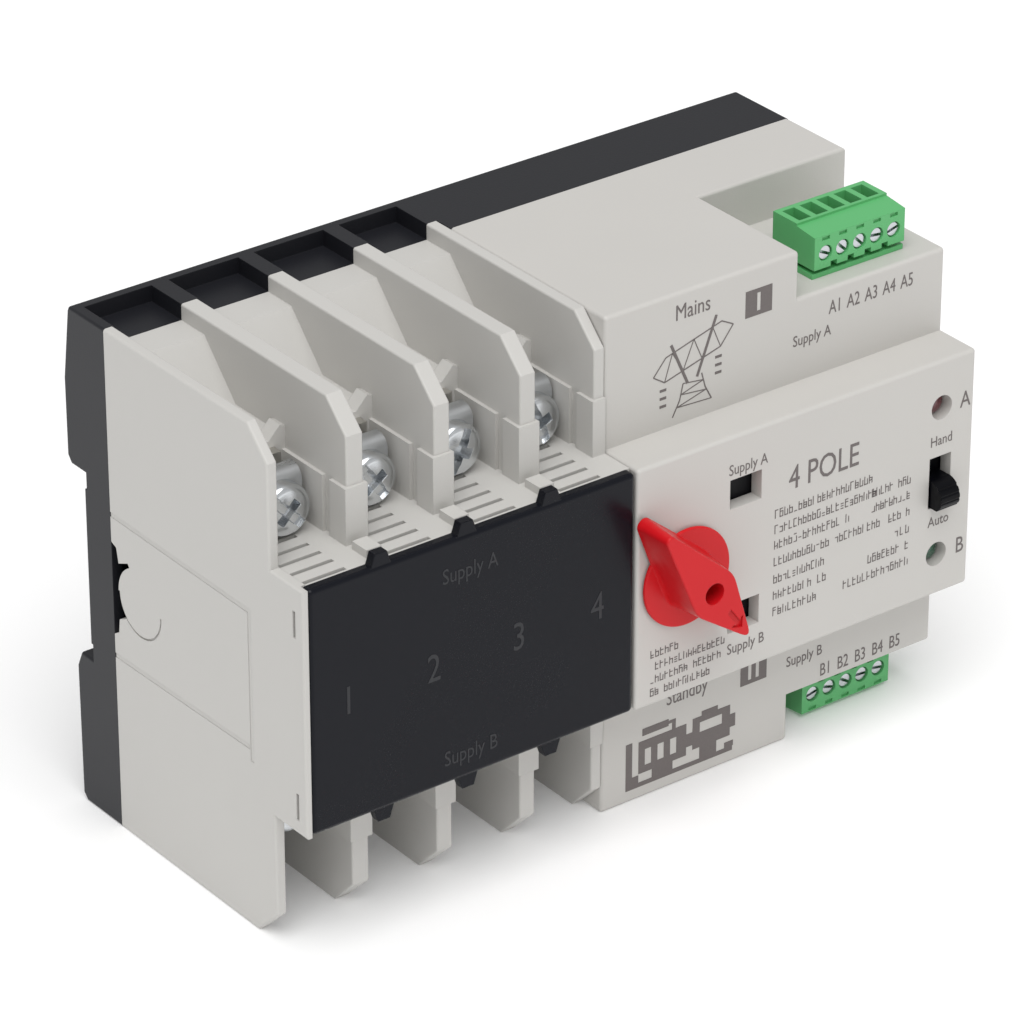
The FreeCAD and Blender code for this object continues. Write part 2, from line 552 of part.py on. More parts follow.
def pinion():
    """Ten-tooth pinion; one tooth points at the rack at rest."""
    base_r = PITCH_R * math.cos(PRESSURE_ANGLE)
    root_r = PITCH_R - DEDENDUM
    tip_r = PITCH_R + ADDENDUM
    half_at_pitch = TOOTH_AT_PITCH / 2 / PITCH_R

    def involute(angle):
        return math.tan(angle) - angle

    def half_angle(radius):
        if radius <= base_r:
            return half_at_pitch + involute(PRESSURE_ANGLE)
        return half_at_pitch + involute(PRESSURE_ANGLE) - involute(math.acos(base_r / radius))

    radii = [root_r, base_r, (base_r + PITCH_R) / 2, PITCH_R, (PITCH_R + tip_r) / 2, tip_r]
    outline = []
    for tooth in range(GEAR_TEETH):
        middle = 2 * math.pi * tooth / GEAR_TEETH
        rising = [(radius, middle - half_angle(radius)) for radius in radii]
        falling = [(radius, middle + half_angle(radius)) for radius in reversed(radii)]
        outline += [(KNOB_X + radius * math.cos(angle), radius * math.sin(angle))
                    for radius, angle in rising + falling]
    gear = prism_y(GEAR_Y[0], GEAR_Y[1], outline)
    return gear.cut(rod_y(KNOB_X, 0, SHAFT_R - 0.7, GEAR_Y[0] - 1, GEAR_Y[1] + 1))


# ---------------------------------------------------------------- control housing
FLOOR_X = (NOTCH_X, HALF_W)
WINDOW_X = (16.8, 23.7)
WINDOW_Z = (9.3, 14.9)
LAMP_X = 64.0
LAMP_Z = (14.0, -15.0)
LAMP_R = 2.3
MODE_SLOT_X = (61.7, 66.6)
MODE_SLOT_Z = (-5.4, 4.5)
HEADER_HALF_X = 9.7
HEADER_Y = (-49.7, -40.0)
BUSH_R = 4.4
SLIDER_H = 5.2
SLIDER_Y = -66.4
SLIDER_RIBS = 5


def control_housing():
    x0 = SPLIT_X + SPLIT_GAP
    x1 = HALF_W
    outline = [
        (SEAM_RIGHT_Y, HALF_H), (STEP_Y, HALF_H), (STEP_Y, NOSE_Z), (FRONT_Y, NOSE_Z),
        (FRONT_Y, -NOSE_Z), (STEP_Y, -NOSE_Z), (STEP_Y, -HALF_H), (SEAM_RIGHT_Y, -HALF_H),
    ]
    body = prism_x(x0, x1, outline)
    for z0, z1 in ((NOTCH_Z, HALF_H + 2), (-HALF_H - 2, -NOTCH_Z)):
        body = body.cut(box(NOTCH_X, x1 + 1, STEP_Y - 1, NOTCH_Y, z0, z1))
    body = soften(body, 0.7, lambda bb: bb.YMin < SEAM_RIGHT_Y - 0.1
                  and not (bb.XLength > 20 and near(abs(bb.ZMin), NOSE_Z) and near(bb.YMin, STEP_Y))
                  and not (near(bb.YMin, NOTCH_Y) and near(bb.YLength, 0) and near(abs(bb.ZMin), NOTCH_Z))
                  and not (near(bb.XMax, NOTCH_X) and (near(abs(bb.ZMin), NOTCH_Z) and near(bb.ZLength, 0)
                                                       or near(bb.YMin, NOTCH_Y) and near(bb.YLength, 0))))
    hollow = [
        box(x0 + WALL, x1 - WALL, -13.0, -5.0, -HALF_H + WALL, HALF_H - WALL),
        box(x0 + WALL, NOTCH_X - WALL, STEP_Y + WALL, -12.0, -HALF_H + WALL, HALF_H - WALL),
        box(x0 + WALL, x1 - WALL, NOTCH_Y + WALL, -12.0, -HALF_H + WALL, HALF_H - WALL),
        box(x0 + WALL, x1 - WALL, STEP_Y + WALL, -12.0, -NOTCH_Z + WALL, NOTCH_Z - WALL),
        box(x0 + WALL, x1 - WALL, FRONT_Y + PANEL_WALL, -50.0, -NOSE_Z + 1.7, NOSE_Z - 1.7),
    ]
    body = body.cut(fuse(hollow))
    bosses = [rod_y(x, z, 3.2, -24.9, SEAM_RIGHT_Y) for x, z, _ in base_posts() if x > SPLIT_X]
    webs = [box(x - 1.0, x + 1.0, -24.9, SEAM_RIGHT_Y, min(z, 1.18 * z), max(z, 1.18 * z))
            for x, z, _ in base_posts() if x > SPLIT_X]
    body = fuse([body] + bosses + webs)
    tools = [beam_window(x0 - 1, x0 + WALL + 1), rod_y(KNOB_X, 0, BUSH_R, -70, -55)]
    for z0, z1 in (WINDOW_Z, (-WINDOW_Z[1], -WINDOW_Z[0])):
        tools.append(box(WINDOW_X[0], WINDOW_X[1], -70, -55, z0, z1))
    for z in LAMP_Z:
        tools.append(rod_y(LAMP_X, z, LAMP_R, -70, -55))
    tools.append(box(MODE_SLOT_X[0], MODE_SLOT_X[1], -70, -55, MODE_SLOT_Z[0], MODE_SLOT_Z[1]))
    for z0, z1 in ((30.0, 45.0), (-45.0, -30.0)):
        tools.append(box(SIGNAL_X - HEADER_HALF_X, SIGNAL_X + HEADER_HALF_X, HEADER_Y[0], HEADER_Y[1], z0, z1))
    for x, z, _ in base_posts():
        if x > SPLIT_X:
            tools.append(rod_y(x, z, BASE_SCREW_R, -24.0, 0.0))
    return body.cut(tools)


# ---------------------------------------------------------------- signal connectors
PLUG_Y = (-50.5, -39.3)
PLUG_Z = 40.8
PLUG_TOP_Z = 48.0
RIDGE_Y = -45.6
SIGNAL_SCREW_Z = 43.6
SIGNAL_HEAD_R = 1.35


def way_centres():
    for way in range(SIGNAL_WAYS):
        yield SIGNAL_X + (way - (SIGNAL_WAYS - 1) / 2) * SIGNAL_PITCH


def header():
    flange = box(44.9, 65.3, -50.1, -39.6, NOTCH_Z, NOTCH_Z + 0.95)
    body = box(SIGNAL_X - HEADER_HALF_X, SIGNAL_X + HEADER_HALF_X, HEADER_Y[0], HEADER_Y[1], 31.0, NOTCH_Z)
    cup = box(SIGNAL_X - HEADER_HALF_X + 1.1, SIGNAL_X + HEADER_HALF_X - 1.1,
              HEADER_Y[0] + 1.1, HEADER_Y[1] - 1.1, 32.6, 45.0)
    holes = [box(x - 0.45, x + 0.45, -45.3, -44.4, 30.0, 34.0) for x in way_centres()]
    return fuse([flange, body]).cut([cup] + holes)


def header_pins():
    return [box(x - 0.45, x + 0.45, -45.3, -44.4, 28.4, 38.2) for x in way_centres()]


def header_board():
    board = box(44.0, 66.2, -51.0, -38.6, 29.4, 31.0)
    return board.cut([box(x - 0.45, x + 0.45, -45.3, -44.4, 29.0, 32.0) for x in way_centres()])


def plug():
    half = (SIGNAL_WAYS * SIGNAL_PITCH + 1.15) / 2
    outline = [(PLUG_Y[0], PLUG_Z), (PLUG_Y[0], 47.0), (RIDGE_Y, 47.55), (RIDGE_Y, PLUG_TOP_Z),
               (PLUG_Y[1], PLUG_TOP_Z), (PLUG_Y[1], PLUG_Z)]
    head = prism_x(SIGNAL_X - half, SIGNAL_X + half, outline)
    tongue_y = (HEADER_Y[0] + 1.1 + GAP, HEADER_Y[1] - 1.1 - GAP)
    tongue_half = HEADER_HALF_X - 1.1 - GAP
    tongue = box(SIGNAL_X - tongue_half, SIGNAL_X + tongue_half, tongue_y[0], tongue_y[1], 33.4, PLUG_Z)
    tools = []
    for x in way_centres():
        tools.append(box(x - 1.3, x + 1.3, -44.9, -40.3, 42.4, 50.0))
        tools.append(box(x - 0.85, x + 0.85, -45.9, -43.8, 33.0, 42.0))
        tools.append(rod_y(x, SIGNAL_SCREW_Z, SIGNAL_HEAD_R + 0.12, PLUG_Y[0] - 1, -47.6))
        tools.append(rod_y(x, SIGNAL_SCREW_Z, 0.8, -48.0, -44.8))
        tools.append(box(x - 0.85, x + 0.85, PLUG_Y[0] - 1, PLUG_Y[0] + 0.35, 46.1, 46.75))
    for x in list(way_centres())[:-1]:
        middle = x + SIGNAL_PITCH / 2
        tools.append(box(middle - 0.7, middle + 0.7, PLUG_Y[0] - 1, PLUG_Y[0] + 1.6, PLUG_Z - 1, PLUG_Z + 0.9))
    return fuse([head, tongue]).cut(tools)


def plug_screws():
    screws = []
    for x in way_centres():
        head = rod_y(x, SIGNAL_SCREW_Z, SIGNAL_HEAD_R, PLUG_Y[0] + 0.3, -47.6)
        slot = box(x - 2, x + 2, PLUG_Y[0], PLUG_Y[0] + 0.9, SIGNAL_SCREW_Z - 0.22, SIGNAL_SCREW_Z + 0.22)
        slot.rotate(Vector(x, 0, SIGNAL_SCREW_Z), Vector(0, 1, 0), 60 + 23 * (x - SIGNAL_X))
        core = rod_y(x, SIGNAL_SCREW_Z, 0.78, -47.8, -44.4)
        screws.append(fuse([head.cut(slot), core]))
    return screws


def plug_clamps():
    """Small square cage at the foot of each wire entry."""
    cages = []
    for x in way_centres():
        cage = box(x - 1.25, x + 1.25, -44.3, -40.4, 42.45, 45.2)
        cages.append(cage.cut(box(x - 0.85, x + 0.85, -43.9, -40.8, 42.0, 46.0)))
    return cages


# ---------------------------------------------------------------- control electronics
BOARD_Y = (-50.0, -48.4)
BOARD_X = (18.0, 68.6)
BOARD_Z = 28.6


def control_board():
    board = box(BOARD_X[0], BOARD_X[1], BOARD_Y[0], BOARD_Y[1], -BOARD_Z, BOARD_Z)
    holes = [rod_y(x, z, 1.2, -60, -40) for x in (BOARD_X[0] + 3, 40.0) for z in (-BOARD_Z + 3, BOARD_Z - 3)]
    return board.cut(holes)


def transformer():
    core = box(42.0, 62.0, BOARD_Y[1] + 3.0, -30.0, -12.0, 12.0)
    core = core.cut([box(45.0, 48.5, -60, -20, -8.5, 8.5), box(55.5, 59.0, -60, -20, -8.5, 8.5)])
    return core


def transformer_coil():
    coil = box(45.1, 58.9, BOARD_Y[1], -27.5, -8.4, 8.4)
    return coil.cut(box(48.5, 55.5, BOARD_Y[1] + 3.0, -30.0, -9, 9))


def relay(z0, z1):
    return soften(box(44.0, 60.0, BOARD_Y[1], -33.0, z0, z1), 0.6, lambda bb: near(bb.YLength, 0))


def solenoid_bobbin():
    tube = rod_z(PLUNGER_X, PLUNGER_Y, 4.4, 10.5, 34.5)
    flanges = [rod_z(PLUNGER_X, PLUNGER_Y, 9.0, z, z + 1.0) for z in (10.5, 33.5)]
    return fuse([tube] + flanges).cut(rod_z(PLUNGER_X, PLUNGER_Y, PLUNGER_R + 0.35, 9, 36))


def solenoid_coil():
    return rod_z(PLUNGER_X, PLUNGER_Y, 8.4, 11.5, 33.5).cut(rod_z(PLUNGER_X, PLUNGER_Y, 4.4, 11, 34))


def solenoid_yoke():
    plates = [box(17.6, 36.4, -32.6, -12.6, z, z + 1.4) for z in (9.1, 34.5)]
    back = box(17.6, 36.4, -13.9, -12.6, 9.1, 35.9)
    return fuse(plates + [back]).cut(rod_z(PLUNGER_X, PLUNGER_Y, PLUNGER_R + 0.5, 8, 37))


def mode_slider():
    """Domed cap with ribs across it, a flange behind the panel and a stem into the switch."""
    x0 = MODE_SLOT_X[0] + GAP
    x1 = MODE_SLOT_X[1] - GAP
    z0 = MODE_SLOT_Z[0] + GAP
    z1 = z0 + SLIDER_H
    top = Vector(x0, FRONT_Y + 0.6, z1)
    crest = Vector(x0, SLIDER_Y, z0 + 0.42 * SLIDER_H)
    foot = Vector(x0, FRONT_Y - 1.9, z0)
    dome = Part.Arc(top, Vector(x0, SLIDER_Y + 0.75, z0 + 0.8 * SLIDER_H), crest).toShape()
    lower = Part.Arc(crest, Vector(x0, SLIDER_Y + 0.3, z0 + 0.18 * SLIDER_H), foot).toShape()
    inner_low = Vector(x0, -60.3, z0)
    inner_high = Vector(x0, -60.3, z1)
    outline = Part.Wire([dome, lower, Part.makeLine(foot, inner_low), Part.makeLine(inner_low, inner_high),
                         Part.makeLine(inner_high, top)])
    cap = Part.Face(outline).extrude(Vector(x1 - x0, 0, 0))
    grooves = []
    for row in range(SLIDER_RIBS):
        angle = math.radians(-62 + 27 * row)
        y = -63.6 - 3.0 * math.cos(angle)
        z = z0 + 0.42 * SLIDER_H + 2.9 * math.sin(angle)
        grooves.append(Part.makeCylinder(0.3, x1 - x0 + 2, Vector(x0 - 1, y, z), Vector(1, 0, 0)))
    flange = box(60.6, 67.7, -60.3, -59.1, -8.2, 3.0)
    stem = box(63.1, 65.1, -59.2, -54.0, z0 + 1.6, z1 - 1.6)
    return fuse([cap, flange, stem]).cut(grooves)


def mode_switch():
    body = box(60.6, 67.7, -55.4, BOARD_Y[0], -7.4, 7.4)
    return body.cut(box(62.6, 65.6, -57.0, -53.4, -5.6, 6.0))


# ---------------------------------------------------------------- rail latches
def rail_latch(x):
    plate = prism_x(x - 7.0, x + 7.0, [
        (1.3, -47.7), (1.3, -16.0), (2.6, -16.0), (4.3, -18.6), (4.3, -47.7)])
    rails = box(x - 8.2, x + 8.2, 1.3, 2.3, -44.0, -22.0)
    window = box(x - 2.6, x + 2.6, 0.0, 6.0, -40.8, -26.0)
    grip = box(x - 3.5, x + 3.5, 3.2, 6.0, -46.2, -44.4)
    return fuse([plate, rails]).cut([window, grip])


def latch_spring(x):
    """Compression spring between the base's stub and the top of the latch's window."""
    helix = Part.makeHelix(1.7, 9.6, 1.1)
    helix.translate(Vector(x, 2.85, -36.0))
    ring = Part.Wire(Part.Circle(Vector(x + 1.1, 2.85, -36.0), Vector(0, 1, 0), 0.28).toShape())
    return Part.Wire(helix).makePipeShell([ring], True, True)


# ---------------------------------------------------------------- write every sub-part
centres = [centre for _, _, centre in bays()]

save("rear_base", rear_base())
save("switch_housing", switch_housing())
save("control_housing", control_housing())
save("front_cover", front_cover())

bars_a = [source_bar(x) for x in centres]
save("source_a_bars", bars_a)
save("source_b_bars", [mirror_z(bar) for bar in bars_a])
save("load_bars", [load_bar(x) for x in centres])
save("source_a_screws", [terminal_screw(x, SCREW_Z, BAR_Y[0]) for x in centres])
save("source_b_screws", [terminal_screw(x, -SCREW_Z, BAR_Y[0]) for x in centres])
save("load_screws", [terminal_screw(x, LOAD_SCREW_Z, LOAD_BAR_Y[0]) for x in centres])
save("source_a_saddles", [saddle(x, SCREW_Z, BAR_Y[0], 1) for x in centres])
save("source_b_saddles", [saddle(x, -SCREW_Z, BAR_Y[0], -1) for x in centres])
save("load_saddles", [saddle(x, LOAD_SCREW_Z, LOAD_BAR_Y[0], -1) for x in centres])
fixed_tips = []
moving_tips = []
for x in centres:
    for y in (FRONT_TIP_Y, REAR_TIP_Y):
        fixed_tips.append(contact_tip(x, y, CONTACT_Z - TIP_H))
        fixed_tips.append(contact_tip(x, y, -CONTACT_Z))
        moving_tips.append(contact_tip(x, y, REST_Z + STRIP / 2))
        moving_tips.append(contact_tip(x, y, REST_Z - STRIP / 2 - TIP_H))
save("fixed_contacts", fixed_tips)
save("moving_contacts", moving_tips)
save("contact_bridges", [bridge(x) for x in centres])
save("contact_springs", [contact_spring(x, side) for x in centres for side in (1, -1)])
save("arc_plates_a", [arc_plate(x, 3.0 + 3.2 * row) for x in centres for row in range(5)])
save("arc_plates_b", [arc_plate(x, -3.8 - 3.2 * row) for x in centres for row in range(5)])
save("pole_barriers", [box((a + b) / 2 - 1, (a + b) / 2 + 1, -58.0, -8.0, -CHAMBER_Z, CHAMBER_Z)
                       .cut(beam_window((a + b) / 2 - 3, (a + b) / 2 + 3)) for a, b in POLE_WALLS[1:-1]])
save("contact_carrier", contact_carrier())
save("drive_rack", drive_rack())
save("position_flag", box(FLAG_X[0], FLAG_X[1], FLAG_Y[0], FLAG_Y[1], FLAG_Z[0], FLAG_Z[1]))
save("solenoid_plunger", rod_z(PLUNGER_X, PLUNGER_Y, PLUNGER_R, REST_Z - 26, REST_Z + 26))

save("knob", knob())
save("knob_shaft", fuse([rod_y(KNOB_X, 0, SHAFT_R, FRONT_Y - 0.3, GEAR_Y[0]),
                         rod_y(KNOB_X, 0, SHAFT_R - 0.7, GEAR_Y[0] - 0.1, GEAR_Y[1] + 0.8)]))
save("drive_pinion", pinion())
save("knob_bush", rod_y(KNOB_X, 0, BUSH_R, FRONT_Y + 0.1, -57.0)
     .cut(rod_y(KNOB_X, 0, SHAFT_R + RUNNING, -70, -50)))
save("gear_frame", box(-1.2, 14.0, -46.0, -44.0, -20.0, 20.0)
     .cut(rod_y(KNOB_X, 0, SHAFT_R + RUNNING, -50, -40)))

header_a = header()
plug_a = plug()
pins = header_pins()
plug_screw_set = plug_screws()
cages = plug_clamps()
board_a = header_board()
for side, turn in (("a", lambda shape: shape), ("b", mirror_z)):
    save("signal_header_" + side, turn(header_a))
    save("signal_pins_" + side, [turn(pin) for pin in pins])
    save("signal_board_" + side, turn(board_a))
    save("signal_plug_" + side, turn(plug_a))
    save("plug_screws_" + side, [turn(screw) for screw in plug_screw_set])
    save("plug_clamps_" + side, [turn(cage) for cage in cages])

save("control_board", control_board())
save("transformer_core", transformer())
save("transformer_coil", transformer_coil())
save("relays", [relay(14.0, 27.5), relay(-27.5, -14.0)])
save("capacitors", [rod_z(x, -42.6, 4.2, 9.0, 27.0) for x in (25.0, 35.0)])
save("solenoid_bobbins", [solenoid_bobbin(), mirror_z(solenoid_bobbin())])
save("solenoid_coils", [solenoid_coil(), mirror_z(solenoid_coil())])
save("solenoid_yokes", [solenoid_yoke(), mirror_z(solenoid_yoke())])
save("lamps", [rod_y(LAMP_X, z, 1.5, -52.6, BOARD_Y[0]) for z in LAMP_Z])
save("lamp_lens_a", rod_y(LAMP_X, LAMP_Z[0], LAMP_R - 0.05, -61.6, -52.6))
save("lamp_lens_b", rod_y(LAMP_X, LAMP_Z[1], LAMP_R - 0.05, -61.6, -52.6))
save("mode_slider", mode_slider())
save("mode_switch", mode_switch())

for side, x in zip(("left", "right"), LATCH_X):
    save("rail_latch_" + side, rail_latch(x))
    save("latch_spring_" + side, latch_spring(x))
save("housing_screws", [fuse([rod_y(x, z, BASE_SCREW_R - 0.01, front_y - 6.5, HEAD_SEAT_Y + 0.1),
                              rod_y(x, z, 2.9, HEAD_SEAT_Y, HEAD_SEAT_Y + 1.8)])
                        .cut([box(x - 2.2, x + 2.2, HEAD_SEAT_Y + 0.8, 9, z - 0.4, z + 0.4),
                              box(x - 0.4, x + 0.4, HEAD_SEAT_Y + 0.8, 9, z - 2.2, z + 2.2)])
                        for x, z, front_y in base_posts()])
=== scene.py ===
# %% [markdown]
# # A four-pole changeover switch for a wall rail
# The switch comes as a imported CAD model: its housings, knob, terminals and works already have their true
# size and place. This file gives them their looks. Each cell makes one finish or one group of pieces,
# and the comment cells say what the piece is on the real switch and why it is made this way.
# The frame is loaded first, because every later cell takes its places from it.

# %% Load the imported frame
import json
import math

import bmesh
import bpy
from mathutils import Matrix, Vector
from mathutils.bvhtree import BVHTree


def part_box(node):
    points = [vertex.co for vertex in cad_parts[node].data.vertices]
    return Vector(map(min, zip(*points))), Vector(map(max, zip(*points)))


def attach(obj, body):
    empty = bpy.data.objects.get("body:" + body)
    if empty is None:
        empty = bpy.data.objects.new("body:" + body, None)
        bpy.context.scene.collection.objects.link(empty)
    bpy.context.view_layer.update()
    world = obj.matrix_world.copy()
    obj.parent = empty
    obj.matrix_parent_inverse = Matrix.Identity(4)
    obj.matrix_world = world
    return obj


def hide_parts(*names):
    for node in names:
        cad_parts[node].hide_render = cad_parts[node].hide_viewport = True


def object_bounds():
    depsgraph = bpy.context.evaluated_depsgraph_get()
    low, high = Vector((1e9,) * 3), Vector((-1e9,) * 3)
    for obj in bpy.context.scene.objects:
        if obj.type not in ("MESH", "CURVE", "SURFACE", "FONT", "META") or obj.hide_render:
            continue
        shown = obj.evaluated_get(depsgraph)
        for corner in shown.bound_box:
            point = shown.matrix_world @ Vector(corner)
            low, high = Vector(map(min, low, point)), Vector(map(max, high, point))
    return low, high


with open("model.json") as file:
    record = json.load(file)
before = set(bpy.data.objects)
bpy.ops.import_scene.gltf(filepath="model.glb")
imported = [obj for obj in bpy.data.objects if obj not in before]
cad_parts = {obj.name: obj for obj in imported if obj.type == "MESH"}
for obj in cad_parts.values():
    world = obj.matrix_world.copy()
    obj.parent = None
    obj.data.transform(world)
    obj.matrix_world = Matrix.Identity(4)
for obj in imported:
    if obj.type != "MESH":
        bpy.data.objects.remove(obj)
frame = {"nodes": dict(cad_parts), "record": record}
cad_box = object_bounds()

MM = 0.001
record = frame["record"]
body_of_node = {node: body for body, nodes in record["behaviour"]["bodies"].items() for node in nodes}
slot_of_node = {part["node"]: part["material_slot"] for part in record["subparts"]}
print("CAD box in mm:", [[round(v / MM, 1) for v in corner] for corner in cad_box])

# %% [markdown]
# ## Wiring nodes from plain expressions
# A finish is a small sum: a base colour, a little cloudiness, a fine grain. Wiring such a sum by hand takes
# many lines, so one class wraps a socket and turns + - * and > into Math nodes. A second class holds a
# tree and has the one method that adds any other node. Finishes and Geometry Nodes rules both use it.

# %% Wire and Board
class Wire:
    """A node's output that can stand in a sum; each operator adds one Math node."""

    def __init__(self, board, socket):
        self.board, self.socket = board, socket

    def math(self, operation, first, second):
        return self.board.node("ShaderNodeMath", {"operation": operation}, {0: first, 1: second})

    def __add__(self, other):
        return self.math("ADD", self, other)

    def __rsub__(self, other):
        return self.math("SUBTRACT", other, self)

    def __mul__(self, other):
        return self.math("MULTIPLY", self, other)

    def __gt__(self, other):
        return self.math("GREATER_THAN", self, other)

    __radd__, __rmul__ = __add__, __mul__


class Board:
    """A node tree that is being wired, for a finish or for a Geometry Nodes rule."""

    def __init__(self, tree):
        self.tree = tree

    def feed(self, socket, value):
        if isinstance(value, Wire):
            self.tree.links.new(value.socket, socket)
        else:
            socket.default_value = value

    def node(self, kind, settings=None, sockets=None, out=0):
        made = self.tree.nodes.new(kind)
        for name, value in (settings or {}).items():
            setattr(made, name, value)
        for name, value in (sockets or {}).items():
            self.feed(made.inputs[name], value)
        return Wire(self, made.outputs[out])


print("node helpers ready")

# %% [markdown]
# ## One class for every finish
# Moulded plastic is never one flat colour: the pigment is slightly cloudy, the mould leaves a fine grain
# and every edge is rounded by a fraction of a millimetre. The class below has these as short methods.
# Patterns use Object coordinates, so they sit still on the part in metres. The rounded edge comes from
# a Bevel node in the normal, which costs no faces on large housings.

# %% Finish
MIX_FACTOR, MIX_A, MIX_B, MIX_COLOUR_OUT = 0, 6, 7, 2      # socket places of a colour Mix node
EDGE_SAMPLES = 4


def rgba(colour, gain=1.0):
    return tuple(min(1.0, channel * gain) for channel in colour) + (1.0,)


class Finish(Board):
    """A procedural material around one Principled shader; fixed values go straight on its sockets."""

    def __init__(self, name, metallic=0.0, **fixed):
        self.material = bpy.data.materials.new(name)
        self.material.use_nodes = True
        super().__init__(self.material.node_tree)
        self.shader = self.tree.nodes["Principled BSDF"]
        self.place = self.node("ShaderNodeTexCoord", out="Object")
        self.shader.inputs["Metallic"].default_value = metallic
        for socket, value in fixed.items():
            self.shader.inputs[socket.replace("_", " ").title().replace("Ior", "IOR")].default_value = value

    def stretched(self, stretch):
        return self.node("ShaderNodeMapping", {}, {"Vector": self.place, "Scale": stretch})

    def noise(self, per_metre, detail=2.0, stretch=None):
        place = self.stretched(stretch) if stretch else self.place
        return self.node("ShaderNodeTexNoise", {}, {"Vector": place, "Scale": per_metre, "Detail": detail})

    def bands(self, axis, per_metre, wobble=0.0):
        """Even stripes across one axis, such as turns of wire."""
        return self.node("ShaderNodeTexWave", {"bands_direction": axis},
                         {"Vector": self.place, "Scale": per_metre, "Distortion": wobble})

    def mix(self, factor, low, high):
        return self.node("ShaderNodeMix", {"data_type": "RGBA"},
                         {MIX_FACTOR: factor, MIX_A: low, MIX_B: high}, out=MIX_COLOUR_OUT)

    def coloured(self, colour, spread, pattern):
        """The colour goes from a little darker to a little lighter with the pattern."""
        self.feed(self.shader.inputs["Base Color"],
                  self.mix(pattern, rgba(colour, 1 - spread), rgba(colour, 1 + spread)))

    def rough(self, middle, spread, pattern):
        self.feed(self.shader.inputs["Roughness"], pattern * (2 * spread) + (middle - spread))

    def relief(self, pattern, height, edge=0.0):
        """Raise the surface with the pattern; edge is the radius that sharp corners appear to have."""
        sockets = {"Height": pattern, "Distance": height}
        if edge:
            sockets["Normal"] = self.node("ShaderNodeBevel", {"samples": EDGE_SAMPLES}, {"Radius": edge})
        self.feed(self.shader.inputs["Normal"], self.node("ShaderNodeBump", {}, sockets))


print("finish class ready")

# %% [markdown]
# ## Moulded plastics
# The two housings are a warm light grey with a fine spark-eroded grain, the rear base is a satin black, and
# the cover over the poles is a smoother, slightly glossy blue-black. Knob and plugs are bright, dense
# colours. They differ only in colour, grain and gloss, so one function makes them all.

# %% Plastics
CLOUD_PER_M = 45.0          # the pigment's slow cloudiness, a few centimetres across
GRAIN_PER_M = 2600.0        # the mould's grain, about 0.4 mm
EDGE_SOFTNESS = 0.18 * MM


def moulded(name, colour, roughness, grain=0.012, spread=0.025, edge=EDGE_SOFTNESS, **fixed):
    """Plastic with cloudy pigment and a mould grain of the given height in millimetres."""
    finish = Finish(name, **fixed)
    cloud = finish.noise(CLOUD_PER_M, 3.0)
    speck = finish.noise(GRAIN_PER_M, 2.0)
    finish.coloured(colour, spread, cloud * 0.7 + speck * 0.3)
    finish.rough(roughness, 0.05, cloud * 0.5 + speck * 0.5)
    finish.relief(speck, grain * MM, edge=edge)
    return finish.material


finishes = {
    "housing_grey": moulded("housing_grey_plastic", (0.553, 0.542, 0.518), 0.50),
    "housing_warm": moulded("housing_warm_plastic", (0.553, 0.538, 0.512), 0.48),
    "base_black": moulded("base_black_plastic", (0.011, 0.0115, 0.0150), 0.44, grain=0.016, spread=0.08,
                          specular_ior_level=0.33),
    "latch_black": moulded("latch_black_plastic", (0.015, 0.0155, 0.019), 0.42, grain=0.014, spread=0.08,
                           specular_ior_level=0.35),
    "inner_black": moulded("inner_black_plastic", (0.010, 0.010, 0.012), 0.55, spread=0.1,
                           specular_ior_level=0.25),
    "cover_black": moulded("cover_gloss_plastic", (0.0055, 0.0062, 0.0098), 0.24, grain=0.003, spread=0.12,
                           edge=0.3 * MM, specular_ior_level=0.17),
    "slider_black": moulded("slider_plastic", (0.0020, 0.0022, 0.0035), 0.32, grain=0.006, spread=0.1,
                            specular_ior_level=0.12),
    "knob_red": moulded("knob_red_plastic", (0.600, 0.008, 0.013), 0.32, grain=0.005, spread=0.05,
                        edge=0.2 * MM, specular_ior_level=0.25),
    "terminal_green": moulded("plug_green_plastic", (0.108, 0.440, 0.158), 0.34, grain=0.006, spread=0.06,
                              edge=0.15 * MM, specular_ior_level=0.4),
    "gear_plastic": moulded("gear_acetal", (0.720, 0.705, 0.640), 0.38, grain=0.004),
    "relay_blue": moulded("relay_case", (0.040, 0.110, 0.330), 0.36, grain=0.006, spread=0.05),
    "barrier_board": moulded("fibre_board", (0.330, 0.290, 0.210), 0.75, grain=0.03, spread=0.12),
}
print("plastics:", len(finishes))

# %% [markdown]
# ## Metals
# Terminal screws and clamp plates are bright zinc, the bars tinned copper, the bushes brass. Bare metal
# shows how it was worked: sheet has fine lines along the roll, plated parts a soft uneven sheen.
# Stretching the noise along one axis gives the lines; leaving it even gives the plating.

# %% Metals
LINES_PER_M = 900.0
SHEEN_PER_M = 220.0         # slow changes of gloss, a few millimetres across
METAL_EDGE = 0.12 * MM


def worked_metal(name, colour, roughness, lines=None, depth=0.004, spread=0.10, **fixed):
    """Bare or plated metal; lines is the stretch that draws the noise out along the working direction."""
    finish = Finish(name, metallic=1.0, **fixed)
    marks = finish.noise(LINES_PER_M, 4.0, stretch=lines)
    sheen = finish.noise(SHEEN_PER_M, 3.0)
    finish.coloured(colour, spread, sheen * 0.6 + marks * 0.4)
    finish.rough(roughness, 0.09, marks * 0.6 + sheen * 0.4)
    finish.relief(marks, depth * MM, edge=METAL_EDGE)
    return finish.material


